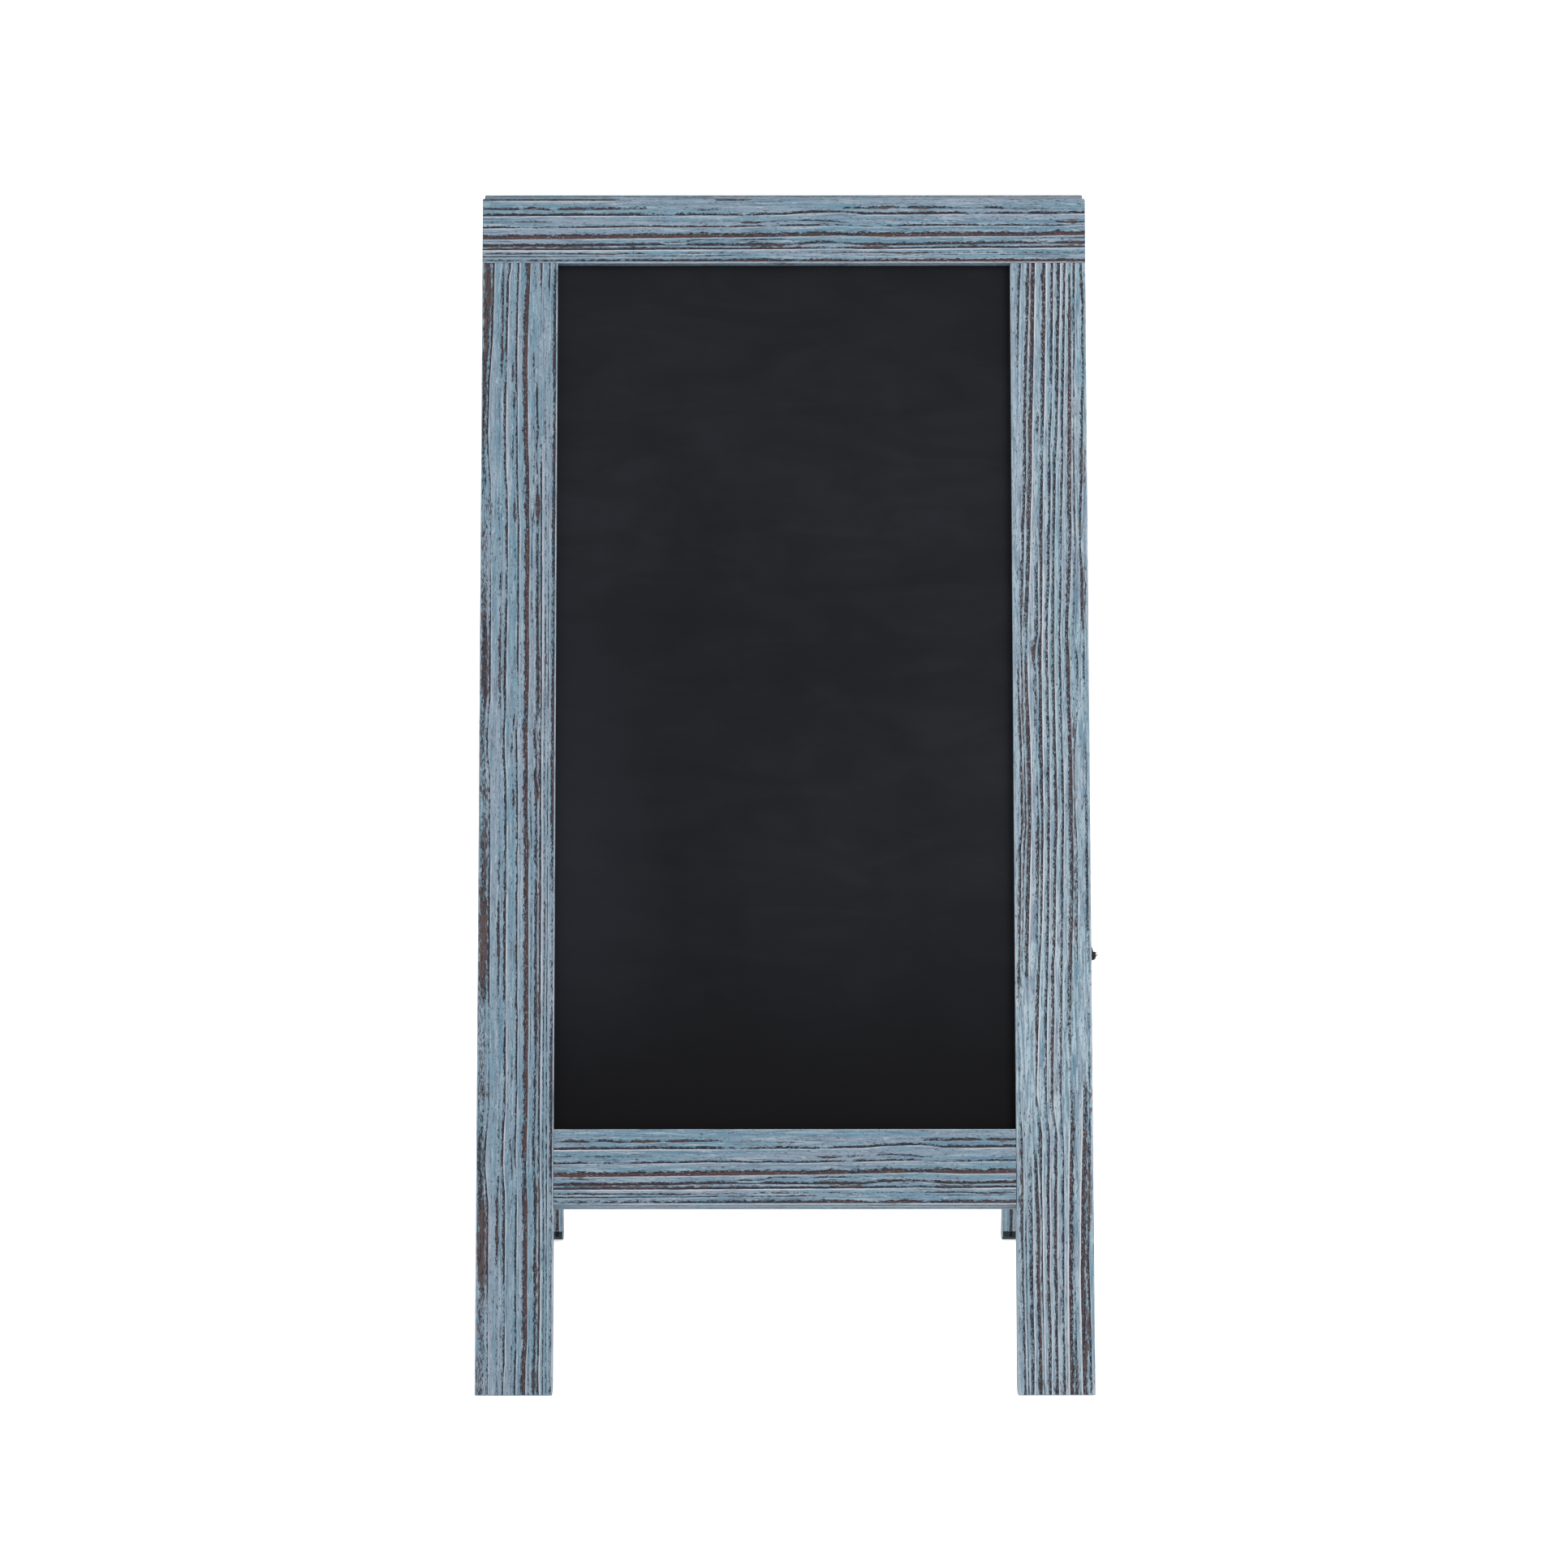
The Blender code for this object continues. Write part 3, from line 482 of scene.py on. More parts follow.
LEFT_LEG_GROOVES = (
    (7.5, .7, .5, 1, ((56, .165, 1), (90, .158, 1), (125, .142, .95), (160, .108, .85), (205, .092, .8),
        (225, .105, .7), (246, .13, .45), (300, .14, .2), (345, .145, .5), (378, .145, .8), (432, .147, .85),
        (444, .13, .4), (462, .112, .5), (480, .12, .6), (498, .15, .35), (562, .155, .6), (596, .156, .95),
        (650, .157, 1), (680, .158, .7), (694, .16, .35), (744, .162, .3), (752, .162, .5), (778, .165, .4),
        (800, .135, .65), (824, .115, .8), (842, .14, .7), (858, .162, 1), (905, .162, 1), (926, .165, .7),
        (938, .165, .35), (1016, .168, .5))),
    (2, .9, .1, 1, ((56, .29, .3), (92, .288, .6), (120, .285, .5), (128, .285, .9), (140, .285, .8),
        (152, .275, .4), (165, .28, 0), (252, .27, 0), (262, .245, .5), (270, .245, .3), (320, .28, .1),
        (330, .28, .5), (350, .28, .3), (378, .28, .5), (383, .28, .95), (393, .28, .7), (400, .278, .3),
        (406, .28, 1), (420, .28, .9), (426, .285, .3), (433, .285, .7), (442, .285, .2), (470, .28, 0),
        (556, .285, .2), (574, .288, .5), (590, .285, .2), (614, .283, .8), (626, .283, .6), (640, .287, .9),
        (690, .287, .1), (702, .29, .5), (712, .295, .1), (838, .3, .3), (850, .292, .5), (858, .29, .95),
        (871, .29, .7), (884, .29, .9), (893, .29, .8), (904, .288, .4), (940, .29, .2), (1016, .29, .3))),
    (2, .2, .9, 1, ((56, .385, .9), (62, .38, .7), (66, .36, .95), (112, .345, 1), (130, .34, .8),
        (140, .34, .3), (152, .335, .3), (166, .33, .8), (200, .328, .75), (236, .335, .7), (250, .35, .4),
        (262, .358, .75), (276, .362, .4), (286, .362, .75), (304, .362, .7), (318, .365, .3),
        (330, .362, .5), (344, .362, .4), (358, .36, .8), (412, .35, 1), (436, .352, .85), (446, .348, .4),
        (462, .335, .7), (480, .34, .75), (500, .36, .5), (518, .365, .8), (530, .368, .5), (556, .368, .7),
        (576, .366, .4), (598, .368, .6), (606, .366, 1), (640, .367, 1), (672, .367, .8), (690, .37, .4),
        (706, .375, .3), (718, .376, .8), (742, .377, .8), (752, .377, .2), (760, .377, .7), (780, .375, .5),
        (800, .355, .8), (824, .35, .7), (836, .36, .3), (848, .377, .9), (880, .38, 1), (912, .38, .8),
        (924, .38, .3), (960, .384, .4), (974, .385, .7), (990, .385, .7), (1000, .372, .4),
        (1016, .37, .6))),
    (1.5, .6, 0, 1, ((56, .44, 0), (140, .43, 0), (146, .425, .7), (152, .42, .8), (160, .42, .2),
        (166, .435, .3), (172, .445, .8), (180, .445, .5), (200, .43, .2), (220, .43, .6), (228, .42, .2),
        (262, .46, .3), (266, .455, .9), (276, .455, .8), (282, .47, .2), (292, .468, .3), (440, .47, .1),
        (450, .468, .8), (458, .45, .4), (468, .44, .6), (480, .44, .3), (506, .45, .2), (512, .465, .8),
        (530, .46, .1), (728, .46, .1), (740, .465, .3), (800, .45, .2), (806, .445, .6), (828, .475, .5),
        (840, .47, .1), (960, .48, .1), (976, .48, .4), (1016, .47, .2))),
    (1.6, .2, .7, 1, ((56, .495, .8), (76, .485, .7), (84, .48, .5), (116, .475, .9), (140, .472, .85),
        (216, .485, .7), (240, .49, .8), (254, .498, .5), (268, .5, .8), (282, .515, .8), (320, .51, .7),
        (340, .515, .7), (400, .512, .8), (418, .515, .3), (446, .52, .2), (458, .498, .6), (480, .505, .8),
        (500, .508, .4), (512, .515, .9), (556, .518, .5), (568, .51, .8), (584, .52, .5), (600, .515, .9),
        (620, .518, .7), (646, .518, .8), (668, .522, .5), (686, .52, .7), (704, .53, .6), (712, .527, .8),
        (742, .525, .8), (758, .53, .4), (776, .522, .8), (820, .512, .5), (832, .53, .2), (872, .53, .8),
        (906, .53, .85), (918, .53, .4), (932, .53, .7), (950, .532, .5), (980, .535, .6), (1000, .528, .8),
        (1016, .525, .6))),
    (3.6, .85, .45, 1, ((56, .642, .9), (100, .618, .95), (140, .605, 1), (216, .622, .95), (240, .638, .9),
        (254, .64, .6), (268, .638, 1), (284, .645, .7), (300, .648, .95), (350, .642, 1), (400, .65, .95),
        (430, .645, .9), (446, .638, .6), (462, .635, .95), (484, .64, .9), (500, .642, .6), (512, .638, 1),
        (536, .645, .7), (556, .658, .95), (590, .655, 1), (604, .655, .7), (620, .66, .95), (716, .668, 1),
        (734, .662, .8), (752, .665, .95), (770, .664, .8), (812, .652, .95), (826, .648, .5), (860, .668, 1),
        (912, .67, .8), (926, .665, 1), (950, .67, .85), (970, .672, .95), (990, .655, 1), (1016, .65, .9))),
    (1.3, .8, .1, 1, ((56, .7, .1), (74, .72, .5), (84, .715, .1), (130, .7, .1), (138, .698, .6),
        (160, .705, .2), (240, .71, .3), (290, .69, .2), (300, .682, .4), (330, .685, .3), (350, .69, .5),
        (376, .7, .1), (506, .69, .1), (516, .682, .5), (530, .69, .3), (548, .7, .6), (562, .705, .2),
        (720, .7, .5), (746, .69, .4), (800, .71, .1), (930, .71, .1), (962, .7, .4), (1016, .7, .3))),
    (2.2, .4, 0, 1, ((56, .765, 0), (160, .75, .1), (168, .745, .9), (184, .75, .8), (200, .765, .6),
        (224, .73, .6), (234, .75, .7), (244, .76, .2), (252, .76, .8), (266, .77, 1), (276, .765, .6),
        (286, .77, .5), (300, .765, .5), (340, .768, .6), (380, .775, .9), (400, .78, .8), (432, .78, .7),
        (442, .775, .3), (460, .735, .6), (474, .755, .6), (486, .765, .3), (496, .755, .9), (512, .775, 1),
        (522, .765, .5), (546, .77, .6), (562, .765, .7), (580, .772, .4), (600, .772, .8), (630, .77, .7),
        (668, .775, 1), (700, .778, .9), (744, .775, .4), (756, .77, .6), (776, .77, .6), (796, .76, .4),
        (806, .75, .7), (828, .76, .4), (838, .775, .6), (856, .785, .9), (880, .785, .7), (908, .785, .9),
        (944, .785, .5), (1016, .77, .8))),
    (1.9, .25, 1, 1, ((56, .802, .7), (76, .795, .5), (84, .795, .2), (160, .8, .1), (220, .806, .3),
        (244, .81, .8), (380, .82, 1), (434, .822, .8), (446, .82, .3), (462, .815, .6), (520, .82, .9),
        (546, .823, .7), (600, .826, 1), (624, .824, .8), (696, .826, 1), (776, .823, .8), (812, .822, .5),
        (834, .825, .6), (852, .832, 1), (912, .835, .8), (926, .835, 1), (952, .835, .9), (1000, .82, .9),
        (1016, .828, .7))),
    (1.1, .3, .2, 1, ((56, .86, .1), (160, .85, .2), (200, .855, .5), (216, .858, .3), (276, .87, .4),
        (340, .87, .3), (376, .87, .6), (386, .875, .9), (392, .87, .5), (480, .865, .4), (600, .875, .4),
        (624, .878, .8), (632, .88, .5), (700, .87, .5), (800, .87, .5), (860, .88, .5), (876, .885, .8),
        (900, .885, .4), (1016, .88, .5))),
    (1.3, .5, .5, 1, ((56, .908, .8), (76, .9, .6), (90, .895, .2), (244, .905, .2), (288, .898, .6),
        (306, .902, .2), (340, .905, .4), (366, .905, .8), (376, .908, .6), (396, .908, .9), (404, .908, .6),
        (436, .91, .6), (446, .908, .2), (536, .91, .6), (560, .91, .2), (604, .91, .7), (616, .912, 1),
        (632, .91, .6), (690, .912, .7), (740, .915, .3), (838, .92, .5), (872, .92, .8), (894, .918, .6),
        (904, .92, 1), (912, .922, .4), (1016, .925, .3))),
    (2.4, .6, 0, 1, ((56, .982, .4), (84, .982, .8), (150, .982, .85), (184, .982, .4), (220, .982, .9),
        (246, .982, .6), (262, .982, 1), (330, .982, .5), (376, .982, .5), (440, .982, .9), (486, .982, .8),
        (520, .982, 1), (540, .982, .7), (600, .982, .3), (700, .982, .4), (750, .982, .9), (780, .982, .7),
        (812, .982, .9), (840, .982, .3), (1016, .982, .3))),
)
LEFT_LEG_WORN = (
    (85, .07, 34, 4.4, 1), (145, .05, 40, 2.6, .8), (190, .05, 24, 2, .8), (268, .11, 8, 3, .7),
    (300, .05, 20, 2.6, .6), (350, .05, 24, 2.4, .7), (405, .08, 30, 4.2, .95), (450, .05, 20, 2, .6),
    (470, .1, 16, 1.4, .7), (512, .09, 12, 3.2, .7), (560, .09, 30, 3.4, .75), (640, .07, 50, 4.4, 1),
    (700, .06, 20, 2.4, .6), (745, .05, 30, 2.4, .65), (763, .12, 5, 2.4, .6), (820, .09, 22, 1.8, .8),
    (888, .08, 44, 4.4, 1), (950, .06, 30, 2.6, .7), (1000, .05, 22, 2.6, .7), (400, .015, 420, .9, .55),
    (134, .28, 7, 1.4, .8), (150, .42, 5, 1.2, .7), (174, .45, 6, 1.4, .8), (172, .735, 10, 1.6, .8),
    (272, .46, 6, 1.6, .8), (270, .62, 8, 1.8, .7), (266, .75, 12, 2.6, .95), (276, .7, 6, 2, .6),
    (318, .76, 20, 1.8, .5), (352, .76, 12, 2.2, .6), (388, .28, 7, 1.2, .8), (413, .28, 9, 1.4, .8),
    (420, .785, 30, 1.4, .8), (400, .87, 12, 1.4, .6), (508, .76, 12, 2.6, .95), (516, .47, 6, 1.6, .8),
    (520, .64, 6, 1.8, .7), (462, .76, 24, 1.8, .5), (555, .66, 10, 1.6, .6), (591, .62, 5, 1.6, .8),
    (592, .79, 8, 1.8, .7), (560, .77, 16, 1.4, .6), (685, .795, 20, 1.3, .8), (645, .285, 6, 1.2, .8),
    (720, .78, 26, 1.6, .5), (812, .76, 18, 2, .5), (848, .8, 12, 2.4, .8), (888, .29, 6, 1.2, .8),
    (862, .29, 8, 1.2, .8), (925, .64, 6, 1.6, .8), (940, .79, 40, 1.8, .6), (990, .63, 6, 1.4, .7),
    (1004, .77, 12, 3, .7),
)

RIGHT_LEG_GROOVES = (
    (1.6, .5, .2, 1, ((56, .145, .8), (80, .125, .8), (140, .1, .5), (152, .09, .1), (250, .075, .1),
        (380, .08, .2), (436, .085, .7), (455, .1, .9), (480, .11, .6), (536, .12, .6), (560, .09, .7),
        (600, .085, .8), (640, .07, .7), (680, .055, .5), (700, .05, .2), (780, .06, .3), (800, .085, .6),
        (850, .09, .7), (880, .08, .6), (1016, .11, .6))),
    (2, .5, .3, 1, ((56, .255, .95), (100, .24, .9), (150, .21, .8), (200, .193, .9), (240, .192, .6),
        (280, .165, .8), (320, .148, .6), (360, .125, .8), (376, .12, .5), (470, .14, .4), (490, .15, .7),
        (536, .16, .6), (560, .14, .5), (600, .12, .4), (680, .1, .1), (800, .12, .1), (860, .12, .2),
        (880, .125, .6), (940, .13, .5), (1016, .15, .5))),
    (2.8, .6, .9, 1, ((56, .33, 1), (150, .297, .85), (200, .275, .95), (240, .268, .75), (280, .246, .9),
        (300, .24, .7), (320, .23, 1), (372, .195, .5), (392, .19, .3), (400, .19, .8), (430, .2, .95),
        (460, .218, 1), (500, .228, .9), (536, .226, 1), (640, .18, .9), (680, .17, .2), (760, .18, .1),
        (820, .2, .3), (900, .21, .6), (930, .205, .6), (980, .22, .5), (1016, .21, .6))),
    (2.2, .9, .1, 1, ((56, .37, 0), (180, .37, .1), (188, .37, .5), (200, .36, .4), (215, .36, .1),
        (300, .34, .2), (330, .335, .6), (376, .335, .5), (384, .31, .6), (390, .3, 1), (398, .29, .9),
        (408, .31, .3), (430, .31, .6), (450, .305, .4), (480, .31, .1), (536, .33, .5), (560, .325, .6),
        (640, .3, .3), (680, .25, .1), (810, .25, .1), (820, .27, .7), (880, .3, .9), (920, .29, .95),
        (960, .31, .9), (1016, .318, 1))),
    (2.6, .55, .9, 1, ((56, .47, 1), (100, .465, 1), (180, .44, .8), (215, .42, .4), (300, .4, .95),
        (340, .395, 1), (400, .375, .9), (480, .382, 1), (496, .385, .4), (504, .385, .9), (540, .385, 1),
        (580, .375, 1), (620, .36, .95), (650, .335, .6), (680, .315, .8), (700, .305, .7), (708, .3, 1),
        (766, .27, .9), (780, .3, .3), (800, .34, .7), (840, .33, .7), (880, .335, .9), (920, .335, .8),
        (1016, .35, 1))),
    (1.8, .45, .5, 1, ((56, .572, .9), (140, .552, .85), (160, .545, .3), (188, .535, .6), (215, .51, .5),
        (240, .515, .7), (270, .51, .8), (300, .495, .7), (330, .49, .7), (360, .465, .8), (376, .46, .7),
        (396, .46, .9), (440, .465, .7), (460, .475, .4), (500, .47, .7), (540, .47, .7), (620, .45, .8),
        (660, .43, .6), (700, .412, .9), (740, .405, .8), (780, .4, .4), (800, .44, .5), (850, .425, .95),
        (880, .43, .9), (920, .42, 1), (960, .44, .9), (1016, .435, .9))),
    (2, .45, .5, 1, ((56, .662, .9), (90, .655, .9), (130, .635, .95), (170, .625, .9), (200, .61, .5),
        (230, .585, .7), (260, .578, .8), (300, .56, .5), (376, .545, .7), (420, .545, .7), (540, .572, .9),
        (560, .552, .7), (600, .54, .8), (640, .53, .7), (656, .51, .9), (700, .508, .8), (740, .49, .8),
        (776, .485, .6), (800, .535, .6), (850, .525, .9), (900, .518, .9), (930, .525, .9), (960, .52, .7),
        (1016, .528, .8))),
    (1.6, .4, .4, 1, ((56, .735, .9), (150, .705, .85), (180, .69, .9), (215, .682, .7), (240, .68, .8),
        (270, .66, .7), (300, .655, .4), (340, .645, .7), (376, .625, .6), (420, .635, .7), (460, .64, .5),
        (500, .655, .8), (540, .655, .8), (560, .645, .9), (600, .635, .6), (700, .61, .8), (770, .59, .4),
        (810, .62, .5), (900, .612, .7), (950, .605, .5), (1016, .62, .8))),
    (2.6, .75, 1, -1, ((56, .765, 0), (215, .73, 0), (376, .675, 0), (480, .705, 0), (700, .665, 0),
        (740, .69, 0), (776, .712, .6), (800, .7, .9), (826, .688, 1), (920, .668, 1), (1016, .672, 1))),
    (2.8, .7, .2, 1, ((56, .8, .3), (96, .795, .7), (130, .8, .8), (170, .795, 1), (260, .782, .9),
        (290, .785, .5), (330, .765, .7), (360, .735, .8), (376, .725, .6), (400, .745, .9), (440, .75, .8),
        (480, .765, .8), (520, .77, .85), (540, .765, .6), (560, .775, .7), (600, .765, .5), (640, .75, .7),
        (700, .722, .6), (770, .72, .2), (780, .74, .2), (860, .74, .4), (940, .76, .3), (1016, .78, .6))),
    (1.6, .5, .3, 1, ((56, .862, 1), (76, .855, .9), (88, .85, .4), (130, .85, .6), (160, .83, .4),
        (168, .84, .8), (176, .835, .3), (220, .83, .6), (300, .84, .5), (330, .83, .4), (376, .8, .3),
        (400, .86, .6), (440, .85, .2), (480, .8, .7), (520, .8, .6), (560, .83, .4), (640, .82, .6),
        (660, .82, .2), (700, .8, 0), (800, .8, 0), (1016, .78, 0))),
    (2.8, .75, .9, -1, ((56, .905, 0), (280, .87, 0), (376, .87, 0), (560, .89, 0), (740, .885, 0),
        (762, .875, .6), (800, .862, .9), (850, .838, .9), (920, .82, 1), (1016, .84, .95))),
    (1.8, .4, 0, 1, ((56, .95, .5), (70, .955, .8), (84, .97, .7), (110, .965, .5), (160, .965, .5),
        (180, .95, .7), (240, .935, .9), (280, .91, .8), (300, .905, .5), (330, .935, .8), (360, .925, .8),
        (376, .95, .3), (400, .94, .6), (440, .95, .2), (520, .96, .4), (560, .965, .7), (620, .965, .6),
        (660, .97, .2), (780, .965, .3), (800, .965, .7), (860, .95, .5), (900, .93, .7), (960, .95, .8),
        (1016, .96, .6))),
)
RIGHT_LEG_WORN = (
    (110, .27, 60, 1.7, .8), (200, .24, 24, 2, .7), (250, .22, 30, 2.4, .5), (455, .11, 20, 2.6, .8),
    (520, .14, 40, 3.2, .7), (600, .08, 40, 2.6, .6), (650, .06, 40, 1.8, .6), (391, .27, 9, 1.8, 1),
    (440, .18, 40, 1.6, .6), (355, .14, 22, 1.6, .6), (100, .79, 30, 2.4, .5), (190, .79, 40, 1.6, .7),
    (232, .94, 20, 2.4, .8), (340, .93, 30, 2.4, .8), (285, .905, 10, 1.6, .8), (500, .77, 70, 2.4, .75),
    (590, .77, 50, 2, .7), (650, .73, 60, 1.6, .6), (400, .735, 30, 1.6, .8), (230, .83, 16, 1.4, .6),
    (560, .33, 30, 1.4, .6), (530, .56, 30, 1.4, .6), (590, .62, 20, 1.4, .6), (730, .59, 50, 1.6, .5),
    (730, .48, 50, 1.6, .5), (850, .055, 50, 1.8, .6), (900, .3, 60, 2, .7), (1000, .3, 20, 2, .8),
    (880, .5, 40, 1.6, .6), (930, .87, 90, 3, .7), (960, .9, 20, 3, .8), (850, .93, 30, 3, .8),
    (1000, .75, 20, 3.4, .6), (770, .97, 40, 1.4, .6), (820, .9, 30, 1.8, .6), (1006, .5, 10, 20, .35),
    (80, .965, 20, 1.2, .6), (420, .12, 30, 1.6, .5), (780, .33, 40, 1.8, .4),
)

LEFT_LEG_WASH = 0.1
RIGHT_LEG_WASH = ((56, .35), (250, .5), (560, .45), (660, .65), (780, .65), (850, .4), (1016, .4))


FIGURE_STEP = 45.0      # mm between the points of a seeded groove


def seeded_figure(seed, width, start, end, count):
    """Grooves and worn patches for a face that the photo doesn't show, in the same form."""
    rng = np.random.RandomState(seed)
    stations = np.arange(start, end + FIGURE_STEP, FIGURE_STEP)
    stations[-1] = end
    slots = (np.arange(count) + 0.5 + rng.uniform(-0.25, 0.25, count)) / count
    sway = np.cumsum(rng.uniform(-0.012, 0.012, len(stations)))
    grooves = []
    for slot in slots:
        broad = rng.uniform() < 0.3
        own = rng.uniform(-0.006, 0.006, len(stations))
        strength = np.clip(rng.uniform(0.35, 0.85) + rng.uniform(-0.45, 0.35, len(stations)), 0, 1)
        place = np.clip(slot + sway + own, 0.04, 0.97)
        groove_width = rng.uniform(2.4, 3.6) if broad else rng.uniform(1.1, 2.0)
        points = list(zip(stations, place, strength))
        grooves.append((groove_width, rng.uniform(0.1, 0.9), rng.uniform(0, 1), 1, points))
    ranges = ((start, end), (0.05, 0.95), (8, 34), (1.2, 2.8), (0.4, 0.9))
    patches = [
        tuple(rng.uniform(low, high) for low, high in ranges)
        for _ in range(int((end - start) / 70 * width / 30) + 1)
    ]
    return grooves, patches


# ---------------------------------------------------------------- timber
# A timber's long faces are numbered round it: 0 outer, 1 the edge at its greatest V, 2 inner, and 3 the
# edge at V = 0. S runs across each of them in that order, from 0 to the face's span.

EASE = 0.9 * MM                   # radius on the long edges
CORNER_TURNS = (22.5, 45, 67.5)   # degrees round that radius
END_EASE = 0.6 * MM
RING_STEP = 3.6 * MM
ROW_STEP = 2.4 * MM               # between the plain rows that fill wide gaps
LEAST_GAP = 0.02 * MM
WIDE_GAP = 0.05 * MM
GROOVE_EDGE = 0.12 * MM           # half the width of a groove's clean edge
HIDDEN_STEP = 7.0 * MM            # between the grooves of a face that the photo doesn't show
BACK_MARGIN = 0.13                # fraction of the face kept clear round a groove asked for on the back
SLOT = (9.7 * MM, 15.3 * MM)      # the board's slot, from the outer face
SLOT_MARGIN = 1.0 * MM            # plain wood beside the slot
SLOT_DEPTH = 8.3 * MM
CLEAR = 0.3 * MM
FOOT_CHAMFER = 4.0 * MM
FOOT_BEND = 60 * MM               # the length over which a leg's rings turn level with the floor
SHARP = 38                        # degrees, above which an edge isn't shaded smooth
AXES = {"x": Vector((1, 0, 0)), "-x": Vector((-1, 0, 0)), "-z": Vector((0, 0, -1))}


class Row:
    """A line of points along one face. Its values are numbers, or arrays over U."""

    def __init__(self, face, s=None, depth=0.0, coat=0.0, rim=0.0, tone=0.0, worn=0.0):
        self.face = face
        self.s = s
        self.depth = depth
        self.coat = coat
        self.rim = rim
        self.tone = tone
        self.worn = worn
        self.corner = None        # V and W, on an eased edge
        self.folds_cap = False    # the foot's end is folded along a line from here


def waves(rng, u, amplitude, lengths):
    total = np.zeros_like(u)
    for length in lengths:
        total += np.sin(2 * math.pi * u / length + rng.uniform(0, 2 * math.pi))
    return amplitude * total / len(lengths)


def groove_rows(face, u, span, groove, rng):
    """Seven rows across one groove: its worn slope, its clean edge and its pale rim."""
    width, brown, pale, side, points = groove
    stations, place, strength = (np.array(c, float) for c in zip(*points))
    marks = u / MM
    at = np.interp(marks, stations, place) * span + waves(rng, u, 0.14 * MM, (0.031, 0.017, 0.009))
    strong = np.interp(marks, stations, strength)
    strong = np.clip(strong + waves(rng, u, 0.16, (0.043, 0.021, 0.012)) * (strong > 0.02), 0, 1)
    taper = np.clip(0.12 + 2.2 * strong, 0, 1)
    broad = width * MM * taper * (1 + waves(rng, u, 0.22, (0.05, 0.023, 0.011)))
    deep = strong**0.8 * (0.22 + 0.13 * width) * MM
    profile = (      # place across, share of the depth, coat, rim
        (-1.35 * broad, 0.0, 0.0, 0.0),
        (-1.0 * broad, 0.35, 0.42, 0.0),
        (-0.60 * broad, 0.85, 0.80, 0.0),
        (-GROOVE_EDGE, 1.0, 1.0, 0.0),
        (GROOVE_EDGE, 0.0, 0.0, 1.0),
        (GROOVE_EDGE + 0.5 * MM * taper, 0.0, 0.0, 0.75),
        (GROOVE_EDGE + 1.5 * MM * taper, 0.0, 0.0, 0.0),
    )
    tone = np.full_like(u, brown)
    return [
        Row(face, at + side * offset, deep * depth, strong * coat, strong * rim * pale, tone)
        for offset, depth, coat, rim in profile[::side]
    ]


def keep_clear(rows, low, high):
    """Moves the parts of rows between low and high to the nearer of the two, and makes them plain."""
    for row in rows:
        inside = (row.s > low) & (row.s < high)
        row.s = np.where(inside, np.where(row.s < (low + high) / 2, low, high), row.s)
        row.depth, row.coat, row.rim = (np.where(inside, 0, v) for v in (row.depth, row.coat, row.rim))


def set_in_order(rows, span):
    """Keeps the rows in order and on the face."""
    least = EASE + LEAST_GAP
    for index, row in enumerate(rows):
        row.s = np.clip(row.s, least + index * LEAST_GAP, span - EASE - (len(rows) - index) * LEAST_GAP)
        if index:
            row.s = np.maximum(row.s, rows[index - 1].s + LEAST_GAP)


def filled(rows, face, span, zero):
    """The rows with plain ones in the wide gaps and at both edges of the face."""
    bounded = [Row(face, zero + EASE)] + rows + [Row(face, zero + span - EASE)]
    full = []
    for a, b in zip(bounded, bounded[1:]):
        full.append(a)
        extra = int(round((b.s - a.s).mean() / ROW_STEP)) - 1
        for k in range(1, extra + 1):
            share = k / (extra + 1)
            tone = a.tone * (1 - share) + b.tone * share
            full.append(Row(face, a.s * (1 - share) + b.s * share, tone=tone))
    return full + bounded[-1:]


def face_rows(face, u, span, grooves, patches, rng, keep_out):
    """Rows of points along one long face. keep_out is a strip that no groove enters, or None."""
    rows = [row for groove in grooves for row in groove_rows(face, u, span, groove, rng)]
    if keep_out:
        keep_clear(rows, *keep_out)
    set_in_order(rows, span)
    rows = filled(rows, face, span, np.zeros_like(u))
    for row in rows:
        row.worn = np.zeros_like(u)
        for along, across, half_long, half_high, strength in patches:
            far = ((u / MM - along) / half_long) ** 2 + ((row.s - across * span) / (half_high * MM)) ** 2
            row.worn = np.maximum(row.worn, strength * np.clip(1.5 - far, 0, 1))
    return rows


def make_way(rows, new, low, high):
    """The rows with new ones among them, and the old ones kept out of low to high."""
    before = [row for row in rows if row.s.mean() < low]
    after = [row for row in rows if row.s.mean() >= low]
    for row in before:
        row.s = np.minimum(row.s, low - WIDE_GAP)
    for row in after:
        row.s = np.maximum(row.s, high + WIDE_GAP)
    return before + new + after


def corner_rows(face, width, thick, edge_coat):
    """The eased edge after a face. edge_coat is a groove's strength along the one at V = 0, or None."""
    centre = (
        (width - EASE, thick - EASE), (width - EASE, EASE), (EASE, EASE), (EASE, thick - EASE),
    )[face]
    rows = []
    for turn in CORNER_TURNS:
        angle = math.radians(90 - face * 90 - turn)
        # rim=0.6 paints a pale highlight along the eased edge; worn=0.3 is rubbed paint
        row = Row(face, rim=0.6, worn=0.3)
        if face == 3 and edge_coat is not None:
            row.coat, row.rim = edge_coat, 0.0
        row.corner = (centre[0] + EASE * math.cos(angle), centre[1] + EASE * math.sin(angle))
        rows.append(row)
    return rows


def hidden_figure(face, span, start, finish, seed, back):
    """The figure of a face that the photo doesn't show, with the back's own grooves on the inner one."""
    count = max(2, int(round(span / HIDDEN_STEP)))
    grooves, patches = seeded_figure(seed * 10 + face, span / MM, start, finish, count)
    if face == 2:
        grooves = [g for g in grooves if all(abs(g[4][-1][1] - place) > BACK_MARGIN for *_, place in back)]
        for *looks, place in back:
            grooves.append((*looks, 1, [(start, place, 0.95), (finish, place, 0.95)]))
        grooves.sort(key=lambda g: g[4][-1][1])
    return grooves, patches


